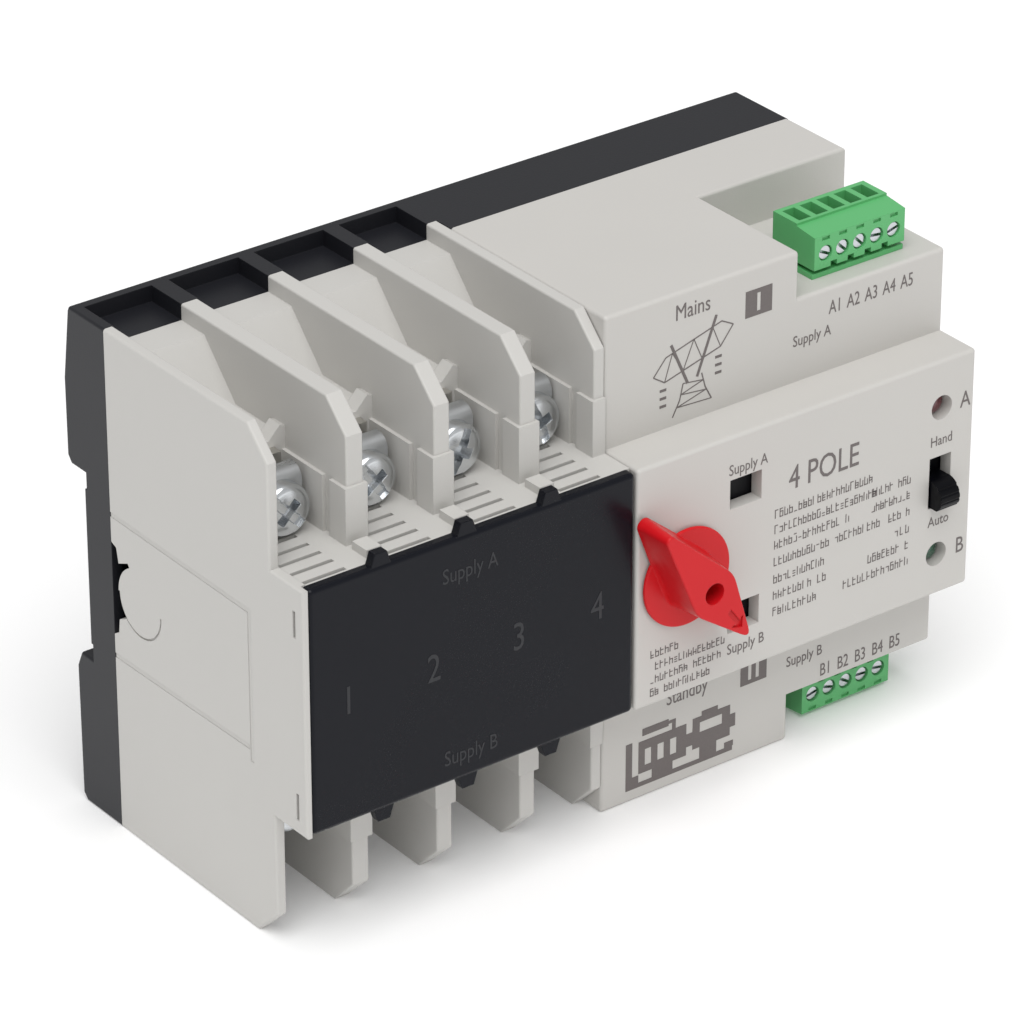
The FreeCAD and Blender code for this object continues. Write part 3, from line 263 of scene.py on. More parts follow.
ALONG_X, ALONG_Z = (0.06, 1.0, 1.0), (1.0, 1.0, 0.06)      # how the noise is stretched
finishes |= {
    "zinc_screw": worked_metal("zinc_plating", (0.66, 0.68, 0.70), 0.24),
    "zinc_plate": worked_metal("zinc_sheet", (0.62, 0.64, 0.66), 0.30, lines=ALONG_X),
    "signal_screw": worked_metal("small_screw_zinc", (0.60, 0.62, 0.65), 0.26),
    "tinned_copper": worked_metal("tinned_bar", (0.60, 0.585, 0.55), 0.36, lines=ALONG_Z),
    "silver_contact": worked_metal("silver_alloy", (0.76, 0.75, 0.72), 0.22),
    "copper_strip": worked_metal("copper_strip", (0.62, 0.29, 0.17), 0.30, lines=ALONG_X),
    "spring_steel": worked_metal("spring_steel", (0.36, 0.37, 0.39), 0.28, lines=ALONG_Z),
    "arc_steel": worked_metal("arc_plate_steel", (0.30, 0.30, 0.30), 0.45, lines=ALONG_X, spread=0.18),
    "plunger_steel": worked_metal("ground_steel", (0.45, 0.45, 0.46), 0.25, lines=ALONG_Z),
    "bush_brass": worked_metal("turned_brass", (0.58, 0.40, 0.16), 0.27),
    "clamp_brass": worked_metal("nickelled_brass", (0.50, 0.45, 0.32), 0.33),
    "pin_tin": worked_metal("tinned_pin", (0.60, 0.60, 0.58), 0.32, lines=ALONG_Z),
    "can_aluminium": worked_metal("capacitor_can", (0.23, 0.25, 0.33), 0.40, lines=ALONG_Z),
}
print("finishes so far:", len(finishes))

# %% [markdown]
# ## Finishes with a pattern of their own
# A circuit board shows tracks under its green mask, a coil shows its turns of wire, and the lamp lenses are
# deep, clear colours that look nearly black until lit. Printed ink is a thin matt layer that is a little
# uneven. Each gets the one pattern that says what it is.

# %% Board, coils, lenses and ink
TRACKS_PER_M, TRACK_BREAKS_PER_M, TRACK_HEIGHT = 90.0, 140.0, 0.035 * MM
TURNS_PER_M, WIRE_HEIGHT = 620.0, 0.12 * MM
LENS_CLOUD_PER_M, LENS_WAVINESS = 420.0, 0.02 * MM
INK_GRAIN_PER_M, INK_GRAIN_HEIGHT = 2400.0, 0.004 * MM


def circuit_board():
    finish = Finish("solder_mask", coat_weight=0.4, coat_roughness=0.2)
    across = finish.bands("X", TRACKS_PER_M, 1.5)
    tracks = (across > 0.55) * (finish.noise(TRACK_BREAKS_PER_M, 1.0) > 0.42)
    finish.feed(finish.shader.inputs["Base Color"],
                finish.mix(tracks, rgba((0.012, 0.085, 0.030)), rgba((0.030, 0.190, 0.070))))
    finish.rough(0.42, 0.05, finish.noise(600.0))
    finish.relief(tracks, TRACK_HEIGHT)
    return finish.material


def wound_wire():
    finish = Finish("enamelled_wire", metallic=0.75, coat_weight=0.3, coat_roughness=0.2)
    turns = finish.bands("Z", TURNS_PER_M, 0.4)
    finish.coloured((0.36, 0.13, 0.05), 0.35, turns)
    finish.rough(0.34, 0.06, finish.noise(500.0))
    finish.relief(turns, WIRE_HEIGHT)
    return finish.material


def clear_lens(name, colour):
    finish = Finish(name, coat_weight=1.0, coat_roughness=0.06)
    depth = finish.noise(LENS_CLOUD_PER_M, 1.0)
    finish.coloured(colour, 0.35, depth)
    finish.rough(0.22, 0.05, depth)
    finish.relief(depth, LENS_WAVINESS)
    return finish.material


def printed_ink(name, colour):
    finish = Finish(name)
    fine = finish.noise(INK_GRAIN_PER_M, 3.0)
    finish.coloured(colour, 0.16, fine)
    finish.rough(0.55, 0.06, fine)
    finish.relief(fine, INK_GRAIN_HEIGHT)
    return finish.material


finishes |= {
    "circuit_board": circuit_board(),
    "coil_copper": wound_wire(),
    "lens_red": clear_lens("red_lens", (0.105, 0.012, 0.020)),
    "lens_green": clear_lens("green_lens", (0.014, 0.085, 0.045)),
    "lamp_clear": clear_lens("clear_lamp", (0.520, 0.520, 0.480)),
}
panel_ink = printed_ink("panel_ink", (0.140, 0.122, 0.118))
cover_ink = printed_ink("cover_ink", (0.0135, 0.0145, 0.0185))
for node, piece in frame["nodes"].items():
    piece.data.materials.clear()
    piece.data.materials.append(finishes[slot_of_node[node]])
print("finishes:", len(finishes), "on", len(frame["nodes"]), "nodes")

# %% [markdown]
# ## Smooth skins for what is seen
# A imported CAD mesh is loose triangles, so a fillet looks faceted in close view. The housings, plugs,
# latches and other rounded parts in plain sight each get a copy with its doubles merged and its faces
# smoothed, and a Weighted Normal modifier keeps the large flat faces flat beside the fillets. Every edge
# above a limit angle is marked sharp, and normals stored by the import are dropped, since they no longer
# fit the merged corners. The shape stays what the CAD says.

# %% Skins
SMOOTH_UP_TO = math.radians(32)
MERGE_WITHIN = 0.002 * MM   # far below any real feature


def merged_mesh(node):
    """A copy of a node's mesh whose triangles share their corners."""
    shape = bmesh.new()
    shape.from_mesh(frame["nodes"][node].data)
    bmesh.ops.remove_doubles(shape, verts=shape.verts, dist=MERGE_WITHIN)
    return shape


def new_piece(name, shape, body, slot, material=None):
    """Turn a bmesh into a piece at the origin that rides on its body."""
    shape.normal_update()
    for face in shape.faces:
        face.smooth = True
    for edge in shape.edges:
        edge.smooth = edge.is_manifold and edge.calc_face_angle() < SMOOTH_UP_TO
    mesh = bpy.data.meshes.new(name)
    shape.to_mesh(mesh)
    shape.free()
    stored = mesh.attributes.get("custom_normal")
    if stored:
        mesh.attributes.remove(stored)
    piece = bpy.data.objects.new(name, mesh)
    bpy.context.scene.collection.objects.link(piece)
    mesh.materials.append(material or finishes[slot])
    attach(piece, body)
    return piece


def skin(node):
    piece = new_piece(node + "_skin", merged_mesh(node), body_of_node[node], slot_of_node[node])
    weighted = piece.modifiers.new("flat faces stay flat", "WEIGHTED_NORMAL")
    weighted.keep_sharp = True
    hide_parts(node)
    return piece


SKINNED = ("rear_base", "switch_housing", "control_housing", "front_cover", "source_a_saddles",
           "source_b_saddles", "load_saddles", "signal_header_a", "signal_header_b", "signal_plug_a",
           "signal_plug_b", "mode_slider", "rail_latch_left", "rail_latch_right", "knob_bush",
           "latch_spring_left", "latch_spring_right")
for node in SKINNED:
    skin(node)
print("skins:", len(SKINNED))

# %% [markdown]
# ## Turned pieces
# Screw heads and lenses are turned shapes: one profile spun about an axis. A profile is given as
# (radius, depth) pairs from the axis outwards and back, so both ends close on the axis. Every one faces
# the front, so the axis is Y. Slots are cut with a Boolean, as a real head is pressed or sawn.

# %% Lathe and cutters
def lathe(profile, sides=48):
    """Spin (radius, y) points, in millimetres, about the Y axis; the ends lie on the axis."""
    shape = bmesh.new()
    rings = []
    for radius, y in profile:
        if radius == 0:
            rings.append([shape.verts.new((0, y * MM, 0))])
            continue
        angles = [2 * math.pi * step / sides for step in range(sides)]
        rings.append([shape.verts.new((radius * MM * math.cos(a), y * MM, radius * MM * math.sin(a)))
                      for a in angles])
    for low, high in zip(rings, rings[1:]):
        for side in range(sides):
            after = (side + 1) % sides
            corners = [low[side % len(low)], low[after % len(low)],
                       high[after % len(high)], high[side % len(high)]]
            shape.faces.new(list(dict.fromkeys(corners)))
    bmesh.ops.recalc_face_normals(shape, faces=shape.faces)
    return shape


def arc(radius, y, size, start, stop, steps=6):
    """Profile points round a corner; angles are in degrees from the radial direction."""
    angles = [math.radians(start + (stop - start) * step / steps) for step in range(steps + 1)]
    return [(radius + size * math.cos(a), y + size * math.sin(a)) for a in angles]


def block(size, at=(0, 0, 0), turn=0.0, taper=1.0):
    """A box, sizes in millimetres, turned about Y; taper narrows its rear end."""
    shape = bmesh.new()
    bmesh.ops.create_cube(shape, size=1.0)
    for corner in shape.verts:
        shrink = taper if corner.co.y > 0 else 1.0
        corner.co = Vector((corner.co.x * size[0] * shrink, corner.co.y * size[1],
                            corner.co.z * size[2] * shrink)) * MM
    move = Matrix.Translation(Vector(at) * MM) @ Matrix.Rotation(turn, 4, "Y")
    bmesh.ops.transform(shape, matrix=move, verts=shape.verts)
    return shape


def loose_object(name, shape):
    mesh = bpy.data.meshes.new(name)
    shape.to_mesh(mesh)
    shape.free()
    made = bpy.data.objects.new(name, mesh)
    bpy.context.scene.collection.objects.link(made)
    return made


def discard(*objects):
    for made in objects:
        bpy.data.objects.remove(made)


def carved(shape, cutters, operation="DIFFERENCE"):
    """The bmesh with every cutter taken out of it, or added to it."""
    target = loose_object("being_cut", shape)
    tools = [loose_object("cutter", cutter) for cutter in cutters]
    for tool in tools:
        step = target.modifiers.new("cut", "BOOLEAN")
        step.operation, step.solver, step.object = operation, "EXACT", tool
    ready = target.evaluated_get(bpy.context.evaluated_depsgraph_get())
    result = bmesh.new()
    result.from_mesh(ready.to_mesh())
    discard(target, *tools)
    return result


print("lathe and cutters ready")

# %% [markdown]
# ## A rule that places screws
# The same screw stands in every terminal, but no two stop at the same angle. A Geometry Nodes rule puts
# one piece on every point with a random turn about its axis, between two limits and from a seed. The
# points come from the CAD: each separate solid of a node marks one place.

# %% Placing rule
def islands(node):
    """Lowest and highest corner of each separate solid in a node, from left to right."""
    shape = merged_mesh(node)
    seen, found = set(), []
    for start in shape.verts:
        if start in seen:
            continue
        seen.add(start)
        group, edge = [start], [start]
        while edge:
            linked = {e.other_vert(v) for v in edge for e in v.link_edges} - seen
            seen |= linked
            group += linked
            edge = list(linked)
        corners = [[fold(v.co[i] for v in group) for i in range(3)] for fold in (min, max)]
        found.append((Vector(corners[0]), Vector(corners[1])))
    shape.free()
    return sorted(found, key=lambda pair: pair[0].x)


class Rule(Board):
    """A Geometry Nodes tree with named inputs; apply() bakes it onto points and gives a plain piece."""

    def __init__(self, name, inputs):
        super().__init__(bpy.data.node_groups.new(name, "GeometryNodeTree"))
        face = self.tree.interface
        face.new_socket("Geometry", in_out="INPUT", socket_type="NodeSocketGeometry")
        face.new_socket("Geometry", in_out="OUTPUT", socket_type="NodeSocketGeometry")
        self.sockets = {label: face.new_socket(label, in_out="INPUT", socket_type=kind)
                        for label, kind in inputs.items()}
        self.entry = self.tree.nodes.new("NodeGroupInput")

    def given(self, label="Geometry"):
        return Wire(self, self.entry.outputs[label])

    def close(self, geometry):
        solid = self.node("GeometryNodeRealizeInstances", {}, {"Geometry": geometry})
        dressed = self.node("GeometryNodeSetMaterial", {},
                            {"Geometry": solid, "Material": self.given("Finish")})
        end = self.tree.nodes.new("NodeGroupOutput")
        self.feed(end.inputs["Geometry"], dressed)
        print("rule", self.tree.name, "inputs:", ", ".join(self.sockets))

    def apply(self, base, **values):
        """Run the rule on a base bmesh; values are given by label, with _ for a space."""
        carrier = loose_object("rule_base", base)
        step = carrier.modifiers.new("rule", "NODES")
        step.node_group = self.tree
        for label, value in values.items():
            step[self.sockets[label.replace("_", " ")].identifier] = value
        bpy.context.view_layer.update()
        graph = bpy.context.evaluated_depsgraph_get()
        mesh = bpy.data.meshes.new_from_object(carrier.evaluated_get(graph), depsgraph=graph)
        discard(carrier)
        shape = bmesh.new()
        shape.from_mesh(mesh)
        return shape


def placing_rule():
    rule = Rule("put one on each point", {"Piece": "NodeSocketObject", "Least turn": "NodeSocketFloat",
                                          "Most turn": "NodeSocketFloat", "Seed": "NodeSocketInt",
                                          "Finish": "NodeSocketMaterial"})
    source = rule.node("GeometryNodeObjectInfo", {}, {"Object": rule.given("Piece")}, out="Geometry")
    turns = [rule.node("ShaderNodeCombineXYZ", {}, {"Y": rule.given(label)})
             for label in ("Least turn", "Most turn")]
    random_turn = rule.node("FunctionNodeRandomValue", {"data_type": "FLOAT_VECTOR"},
                            {"Min": turns[0], "Max": turns[1], "Seed": rule.given("Seed")})
    placed = rule.node("GeometryNodeInstanceOnPoints", {},
                       {"Points": rule.given(), "Instance": source, "Rotation": random_turn})
    rule.close(placed)
    return rule


def at_points(points):
    base = bmesh.new()
    for point in points:
        base.verts.new(point)
    return base


on_each_point = placing_rule()

# %% [markdown]
# ## The power screws
# Each terminal has a broad pan head with a slot and a cross, so that either driver fits. The head is a low
# dome with a round corner and the shank carries a thread. One screw is turned and cut for each row of
# terminals, as long as the CAD screw it stands for, and the rule puts it on all four of the row.

# %% Power screws
def power_screw(length):
    """Pan head with its front at y = 0; length is the whole screw, in millimetres."""
    head_r, head_t, corner, shank_r = 4.8, 3.2, 1.25, 2.3
    dome, chamfer, point = 0.18, 0.15, 0.4
    profile = [(0, 0), (head_r * 0.45, 0.04), (head_r - corner, dome)]
    profile += arc(head_r - corner, corner + dome, corner, -90, 0)[1:]
    profile += [(head_r, head_t - chamfer), (head_r - chamfer, head_t), (shank_r, head_t)]
    thread_pitch, crest, runout = 0.8, 0.25, 0.3
    turns = int((length - head_t - 2 * runout) / thread_pitch)
    for turn in range(turns):
        y = head_t + runout + turn * thread_pitch
        profile += [(shank_r, y), (shank_r - crest, y + thread_pitch / 2)]
    profile += [(shank_r, length - 0.5), (shank_r - point, length), (0, length)]
    head = lathe(profile, sides=40)
    slot = block((8.8, 2.4, 1.7), taper=0.9)
    arm = block((6.6, 4.2, 2.5), taper=0.5)
    across = block((2.5, 4.2, 6.6), taper=0.5)
    return carved(head, [slot, arm, across])


def screw_set(name, node, template, seed, least=0.0, most=math.pi):
    """Replace a node's screws by copies of a template, each at its own turn."""
    spots = [Vector(((lo.x + hi.x) / 2, lo.y, (lo.z + hi.z) / 2)) for lo, hi in islands(node)]
    slot = slot_of_node[node]
    shape = on_each_point.apply(at_points(spots), Piece=template, Seed=seed, Least_turn=least,
                                Most_turn=most, Finish=finishes[slot])
    piece = new_piece(name, shape, body_of_node[node], slot)
    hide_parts(node)
    print(name, "screws:", len(spots), "faces:", len(piece.data.polygons))


for seed, group in enumerate(("source_a", "source_b", "load"), start=3):
    node = group + "_screws"
    first = islands(node)[0]
    template = loose_object("power_screw", power_screw((first[1].y - first[0].y) / MM))
    screw_set(group + "_power_screws", node, template, seed)
    discard(template)

# %% [markdown]
# ## The small screws in the green plugs
# Each way of a plug is tightened by a small slotted screw that sits low in a round well. They are the same
# turned and sawn shape at a quarter of the size, so the placing rule serves again, once for each plug,
# because each plug is a body that pulls off with its screws.

# %% Plug screws
def plug_screw(length):
    head_r, head_t, core_r, corner, point = 1.35, 2.6, 0.78, 0.18, 0.2
    profile = [(0, 0), (head_r - corner, 0)] + arc(head_r - corner, corner, corner, -90, 0, 3)[1:]
    profile += [(head_r, head_t), (core_r, head_t)]
    profile += [(core_r, length - point), (core_r - point, length), (0, length)]
    return carved(lathe(profile, sides=28), [block((3.2, 1.9, 0.5))])


for seed, side in enumerate("ab", start=11):
    node = "plug_screws_" + side
    first = islands(node)[0]
    template = loose_object("plug_screw", plug_screw((first[1].y - first[0].y) / MM))
    screw_set("small_screws_" + side, node, template, seed, least=-0.9, most=0.9)
    discard(template)

# %% [markdown]
# ## The lamp lenses
# Two lamps sit in round wells at the right edge of the panel: a red one for supply A and a green one for
# supply B. The CAD lens is a plain rod. On the real part its front is a low dome that catches the light,
# so a turned piece with a rounded end takes its place.

# %% Lenses
DOME_RISE = 0.9
DOME_ANGLES = [math.radians(9 * step) for step in range(11)]

for side, slot in (("a", "lens_red"), ("b", "lens_green")):
    low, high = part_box("lamp_lens_" + side)
    centre = (low + high) / 2
    radius, length = (high.x - low.x) / 2 / MM, (high.y - low.y) / MM
    dome = [(radius * math.sin(a), DOME_RISE * (1 - math.cos(a))) for a in DOME_ANGLES]
    lens = lathe(dome + [(radius, length - 0.4), (radius - 0.3, length), (0, length)])
    bmesh.ops.translate(lens, verts=lens.verts, vec=(centre.x, low.y, centre.z))
    piece = new_piece("lens_dome_" + side, lens, "root", slot)
    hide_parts("lamp_lens_" + side)
print("lens radius in mm:", round(radius, 2))

# %% [markdown]
# ## The knob
# The knob is one red moulding: a thin disc, and on it a pointer with a flat kite-shaped top. The tip of the
# kite points at the window of the closed supply, and its tail reaches past the disc. A plain loft would lose
# the soft edges, so the pointer is stacked from outlines that change with height: a small fillet where it
# meets the disc, steep flanks, and a rounding under the top face. Socket and arrow are cut in afterwards.

# %% Knob
knob_low, knob_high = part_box("knob")
shaft_low, shaft_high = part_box("knob_shaft")
KNOB_AXIS = Vector(((shaft_low.x + shaft_high.x) / 2, 0, (shaft_low.z + shaft_high.z) / 2)) / MM
KNOB_TOP, KNOB_BACK = knob_low.y / MM, knob_high.y / MM
KNOB_REST = math.radians(-54.0)
DISC_R, DISC_FRONT, DISC_EDGE = 9.2, -64.3, 0.25
SOCKET_R, SOCKET_DEPTH = 2.0, 6.0
ARROW_DEPTH = 0.45
ABOVE = 1.0                 # how far a cutter stands out of the face it cuts
SIDE_BEND = 0.6             # where along the pointer its flanks turn
BEND_REACH = 1.8
TIP_SET_BACK = 0.47         # the rounding draws the tip back by this share of its reach
TAIL_ROUNDING = 0.95


def on_knob(along, across, y):
    """Place of a point given along and across the pointer, in metres."""
    c, s = math.cos(KNOB_REST), math.sin(KNOB_REST)
    return Vector((KNOB_AXIS.x + along * c - across * s, y, KNOB_AXIS.z + along * s + across * c)) * MM


def rounded_outline(corners, steps=5):
    """Outline points; each corner is (along, across, reach) and is bent over its reach."""
    points = []
    for i, (a, b, reach) in enumerate(corners):
        here, following = Vector((a, b)), corners[(i + 1) % len(corners)]
        before, after = Vector(corners[i - 1][:2]), Vector(following[:2])
        start = here + (before - here).normalized() * reach
        end = here + (after - here).normalized() * reach
        for step in range(steps + 1):
            t = step / steps
            points.append(start * (1 - t) ** 2 + here * (2 * t * (1 - t)) + end * t ** 2)
        flank_end = after + (here - after).normalized() * following[2]
        points += [end.lerp(flank_end, share) for share in (1 / 3, 2 / 3)]
    return points


def kite(tip, half, tail, tail_half, nose):
    """Pointer outline; nose is how far back from its corner the rounding of the tip starts."""
    bend = tail_half * TAIL_ROUNDING
    return rounded_outline([(tip + nose * TIP_SET_BACK, 0, nose), (SIDE_BEND, half, BEND_REACH),
                            (-tail, tail_half, bend), (-tail, -tail_half, bend),
                            (SIDE_BEND, -half, BEND_REACH)])


def stacked(levels):
    """A closed solid through outlines (y, points), from the foot to the top."""
    shape = bmesh.new()
    rings = [[shape.verts.new(on_knob(p.x, p.y, y)) for p in points] for y, points in levels]
    count = len(rings[0])
    for low, high in zip(rings, rings[1:]):
        for i in range(count):
            shape.faces.new((low[i], low[(i + 1) % count], high[(i + 1) % count], high[i]))
    shape.faces.new(rings[0])
    shape.faces.new(rings[-1])
    bmesh.ops.recalc_face_normals(shape, faces=shape.faces)
    return shape


pointer = stacked([         # y, then tip, half width, tail, tail's half width and rounding of the tip
    (DISC_FRONT + DISC_EDGE, kite(13.3, 5.95, 17.4, 1.15, 3.2)),
    (DISC_FRONT - 0.10, kite(13.3, 5.75, 17.4, 1.15, 3.2)),
    (DISC_FRONT - 0.45, kite(13.25, 5.5, 17.35, 1.1, 3.2)),
    (DISC_FRONT - 1.10, kite(13.2, 5.35, 17.3, 1.05, 3.2)),
    (-71.15, kite(12.95, 4.9, 16.95, 0.8, 3.0)),
    (-71.40, kite(12.9, 4.85, 16.9, 0.75, 2.9)),
    (-71.55, kite(12.75, 4.72, 16.78, 0.66, 2.7)),
    (KNOB_TOP, kite(12.6, 4.57, 16.6, 0.52, 2.5)),
])
disc = lathe([(0, DISC_FRONT)] + arc(DISC_R - DISC_EDGE, DISC_FRONT + DISC_EDGE, DISC_EDGE, -90, 0, 3)
             + [(DISC_R, KNOB_BACK - 0.15), (DISC_R - 0.15, KNOB_BACK), (0, KNOB_BACK)], sides=96)
bmesh.ops.translate(disc, verts=disc.verts, vec=KNOB_AXIS * MM)
socket = lathe([(0, KNOB_TOP - ABOVE), (SOCKET_R, KNOB_TOP - ABOVE), (SOCKET_R, KNOB_TOP + SOCKET_DEPTH),
                (0, KNOB_TOP + SOCKET_DEPTH)])
bmesh.ops.translate(socket, verts=socket.verts, vec=KNOB_AXIS * MM)


def arrow_cutter():
    """Shaft and head of the arrow pressed into the top face."""
    outline = [Vector(point) for point in (
        (10.4, 0), (8.6, 1.5), (8.6, 0.95), (9.0, 0.45), (5.6, 0.45), (5.6, -0.45), (9.0, -0.45),
        (8.6, -0.95), (8.6, -1.5))]
    return stacked([(KNOB_TOP + ARROW_DEPTH, outline), (KNOB_TOP - ABOVE / 2, outline)])


knob_shape = carved(carved(pointer, [disc], "UNION"), [socket, arrow_cutter()])
bmesh.ops.remove_doubles(knob_shape, verts=knob_shape.verts, dist=MERGE_WITHIN)
knob = new_piece("knob_moulding", knob_shape, "knob", "knob_red")
knob.modifiers.new("flat faces stay flat", "WEIGHTED_NORMAL").keep_sharp = True
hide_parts("knob")
print("knob faces:", len(knob.data.polygons))

# %% [markdown]
# ## Finding the printed surfaces
# The print lies on three faces: the raised front panel, the lower faces beside it, and the black cover.
# A ray is sent from the front at each printed place, so the ink always lands on the surface that the
# CAD has there and keeps its own thin layer above it.

# %% Where the ink goes
INK_T = 0.05 * MM
PROBE_Y = -0.2              # in metres, well in front of the switch


def front_probe(*nodes):
    """A function that gives the y of the frontmost surface at (x, z), in metres."""
    shape = bmesh.new()
    for node in nodes:
        shape.from_mesh(frame["nodes"][node].data)
    tree = BVHTree.FromBMesh(shape)
    shape.free()

    def surface(x, z):
        hit = tree.ray_cast(Vector((x, PROBE_Y, z)), Vector((0, 1, 0)))[0]
        return hit.y
    return surface


panel_at = front_probe("control_housing", "front_cover")
for label, x, z in (("panel", 40, 0), ("upper face", 40, 33), ("lower face", 35, -33), ("cover", -40, 0)):
    print(label, "front face at y =", round(panel_at(x * MM, z * MM) / MM, 2), "mm")

# %% [markdown]
# ## Rows of fine print
# The panel carries rows of small print. The rows are kept as rows of letter-like strokes that say nothing,
# because the wording isn't part of the shape. Geometry Nodes suit this: each row is one edge, the rule
# walks along it letter by letter, drops random stems and bars at each step, and leaves word gaps.

# %% Fine print rule
LETTER_WIDTH = 0.62         # share of the letter step


def print_rule():
    names = ("Letter step", "Letter height", "Stroke", "Ink thickness", "Gap share")
    rule = Rule("fine print", {name: "NodeSocketFloat" for name in names}
                | {"Seed": "NodeSocketInt", "Finish": "NodeSocketMaterial"})
    step, tall, stroke, thick, gaps = (rule.given(name) for name in names)
    seed = rule.given("Seed")
    rows = rule.node("GeometryNodeMeshToCurve", {}, {"Mesh": rule.given()})
    letters = rule.node("GeometryNodeCurveToPoints", {"mode": "LENGTH"}, {"Curve": rows, "Length": step})

    def chance(share, salt):
        return rule.node("FunctionNodeRandomValue", {"data_type": "FLOAT"},
                         {"Seed": seed + salt}, out=1) > 1 - share

    kept = rule.node("GeometryNodeDeleteGeometry", {"domain": "POINT"},
                     {"Geometry": letters, "Selection": chance(gaps, 0)})

    def strokes(salt, share, wide, high, right, up):
        """One kind of stroke: its size and its place in the letter's box, as Wires or numbers."""
        bar = rule.node("GeometryNodeMeshCube", {}, {"Size": rule.node(
            "ShaderNodeCombineXYZ", {}, {"X": wide, "Y": thick, "Z": high})})
        moved = rule.node("GeometryNodeSetPosition", {}, {"Geometry": kept, "Offset": rule.node(
            "ShaderNodeCombineXYZ", {}, {"X": right, "Z": up})})
        return rule.node("GeometryNodeInstanceOnPoints", {},
                         {"Points": moved, "Instance": bar, "Selection": chance(share, salt)})

    height_choice = rule.node("FunctionNodeRandomValue", {"data_type": "FLOAT"}, {"Seed": seed + 9}, out=1)
    wide = step * LETTER_WIDTH
    parts = [  # left stem, right stem, upper bar, foot bar, and a bar at one of two heights
        strokes(1, 0.90, stroke, tall, wide * -0.5, tall * 0.5),
        strokes(2, 0.62, stroke, tall * 0.68, wide * 0.5, tall * 0.34),
        strokes(3, 0.66, wide, stroke, 0.0, tall * 0.64),
        strokes(4, 0.50, wide, stroke, 0.0, stroke * 0.5),
        strokes(5, 0.30, wide, stroke, 0.0, tall * (height_choice > 0.5) * 0.6 + tall * 0.36)]
    gathered = rule.tree.nodes.new("GeometryNodeJoinGeometry")
    for part in parts:
        rule.tree.links.new(part.socket, gathered.inputs[0])
    rule.close(Wire(rule, gathered.outputs[0]))
    return rule


fine_print = print_rule()
print("fine print rule ready")

# %% [markdown]
# ## Where the rows stand
# A table of names and values fills the middle of the panel, names from the left and values up to the right
# edge, and a short note stands in the lower left corner. Each row is one edge for the rule. The two
# groups get different seeds, so their strokes differ.

# %% Rows on the panel
PROBE_RISE = 0.8            # the surface is found at the middle of a letter's height


def row_edges(rows):
    """One edge for each row (x0, x1, z) in millimetres, lying on the printed surface."""
    base = bmesh.new()
    for x0, x1, z in rows:
        ends = [Vector((x * MM, panel_at(x * MM, (z + PROBE_RISE) * MM) - INK_T / 2, z * MM))
                for x in (x0, x1)]
        base.edges.new([base.verts.new(end) for end in ends])
    return base


TABLE_Z = (4.3, 1.3, -1.7, -5.0, -8.4, -11.6, -14.8)
TABLE_LEFT, TABLE_RIGHT = 27.2, 57
TABLE_NAMES = [(TABLE_LEFT, TABLE_LEFT + length, z)
               for length, z in zip((21, 22, 17, 23, 10.5, 11, 10), TABLE_Z)]
TABLE_VALUES = [(TABLE_RIGHT - length, TABLE_RIGHT, z)
                for length, z in zip((8, 8, 4, 2.5, 8.5, 14), TABLE_Z[1:])]
NOTE_ROWS = [(0.4, 5.6, -13.9), (0.4, 15.8, -16.4), (0.4, 15.0, -18.9), (0.4, 13.6, -21.4)]
PRINT_GROUPS = (           # rows, letter step, letter height, stroke, gap share
    (TABLE_NAMES + TABLE_VALUES, 1.0, 1.65, 0.17, 0.09),
    (NOTE_ROWS, 1.0, 1.50, 0.17, 0.09),
)
ink_shapes = [fine_print.apply(row_edges(rows), Letter_step=step * MM, Letter_height=tall * MM,
                               Stroke=stroke * MM, Ink_thickness=INK_T, Gap_share=gap,
                               Seed=20 + number, Finish=panel_ink)
              for number, (rows, step, tall, stroke, gap) in enumerate(PRINT_GROUPS)]
print("print groups:", len(ink_shapes), "faces:", sum(len(shape.faces) for shape in ink_shapes))

# %% [markdown]
# ## Marks that can be read
# Generic marks stay readable: the letters beside the lamps, the numbers of the poles and of the signal
# ways, and plain words for the two supplies and for the two ways of working. Text objects give clean
# letters; each becomes a thin mesh before it is moved into place, so no finished piece is turned or scaled.

# %% Letters and numbers
CAP_SHARE = 0.72            # height of a capital as a share of the font size


def lettering(text, x, z, height, narrow=0.8):
    """Letters centred on (x, z), in millimetres, standing on the surface behind them."""
    curve = bpy.data.curves.new("lettering", "FONT")
    curve.body, curve.align_x, curve.align_y = text, "CENTER", "CENTER"
    curve.size, curve.extrude = height / CAP_SHARE * MM, INK_T / 2
    curve.resolution_u = 3
    holder = bpy.data.objects.new("lettering", curve)
    bpy.context.scene.collection.objects.link(holder)
    bpy.context.view_layer.update()
    mesh = bpy.data.meshes.new_from_object(holder)
    discard(holder)
    mesh.transform(Matrix.Diagonal((narrow, 1, 1, 1)))
    mesh.transform(Matrix.Rotation(math.radians(90), 4, "X"))
    mesh.transform(Matrix.Translation((x * MM, panel_at(x * MM, z * MM) - INK_T / 2, z * MM)))
    shape = bmesh.new()
    shape.from_mesh(mesh)
    bmesh.ops.remove_doubles(shape, verts=shape.verts, dist=MERGE_WITHIN)
    return shape


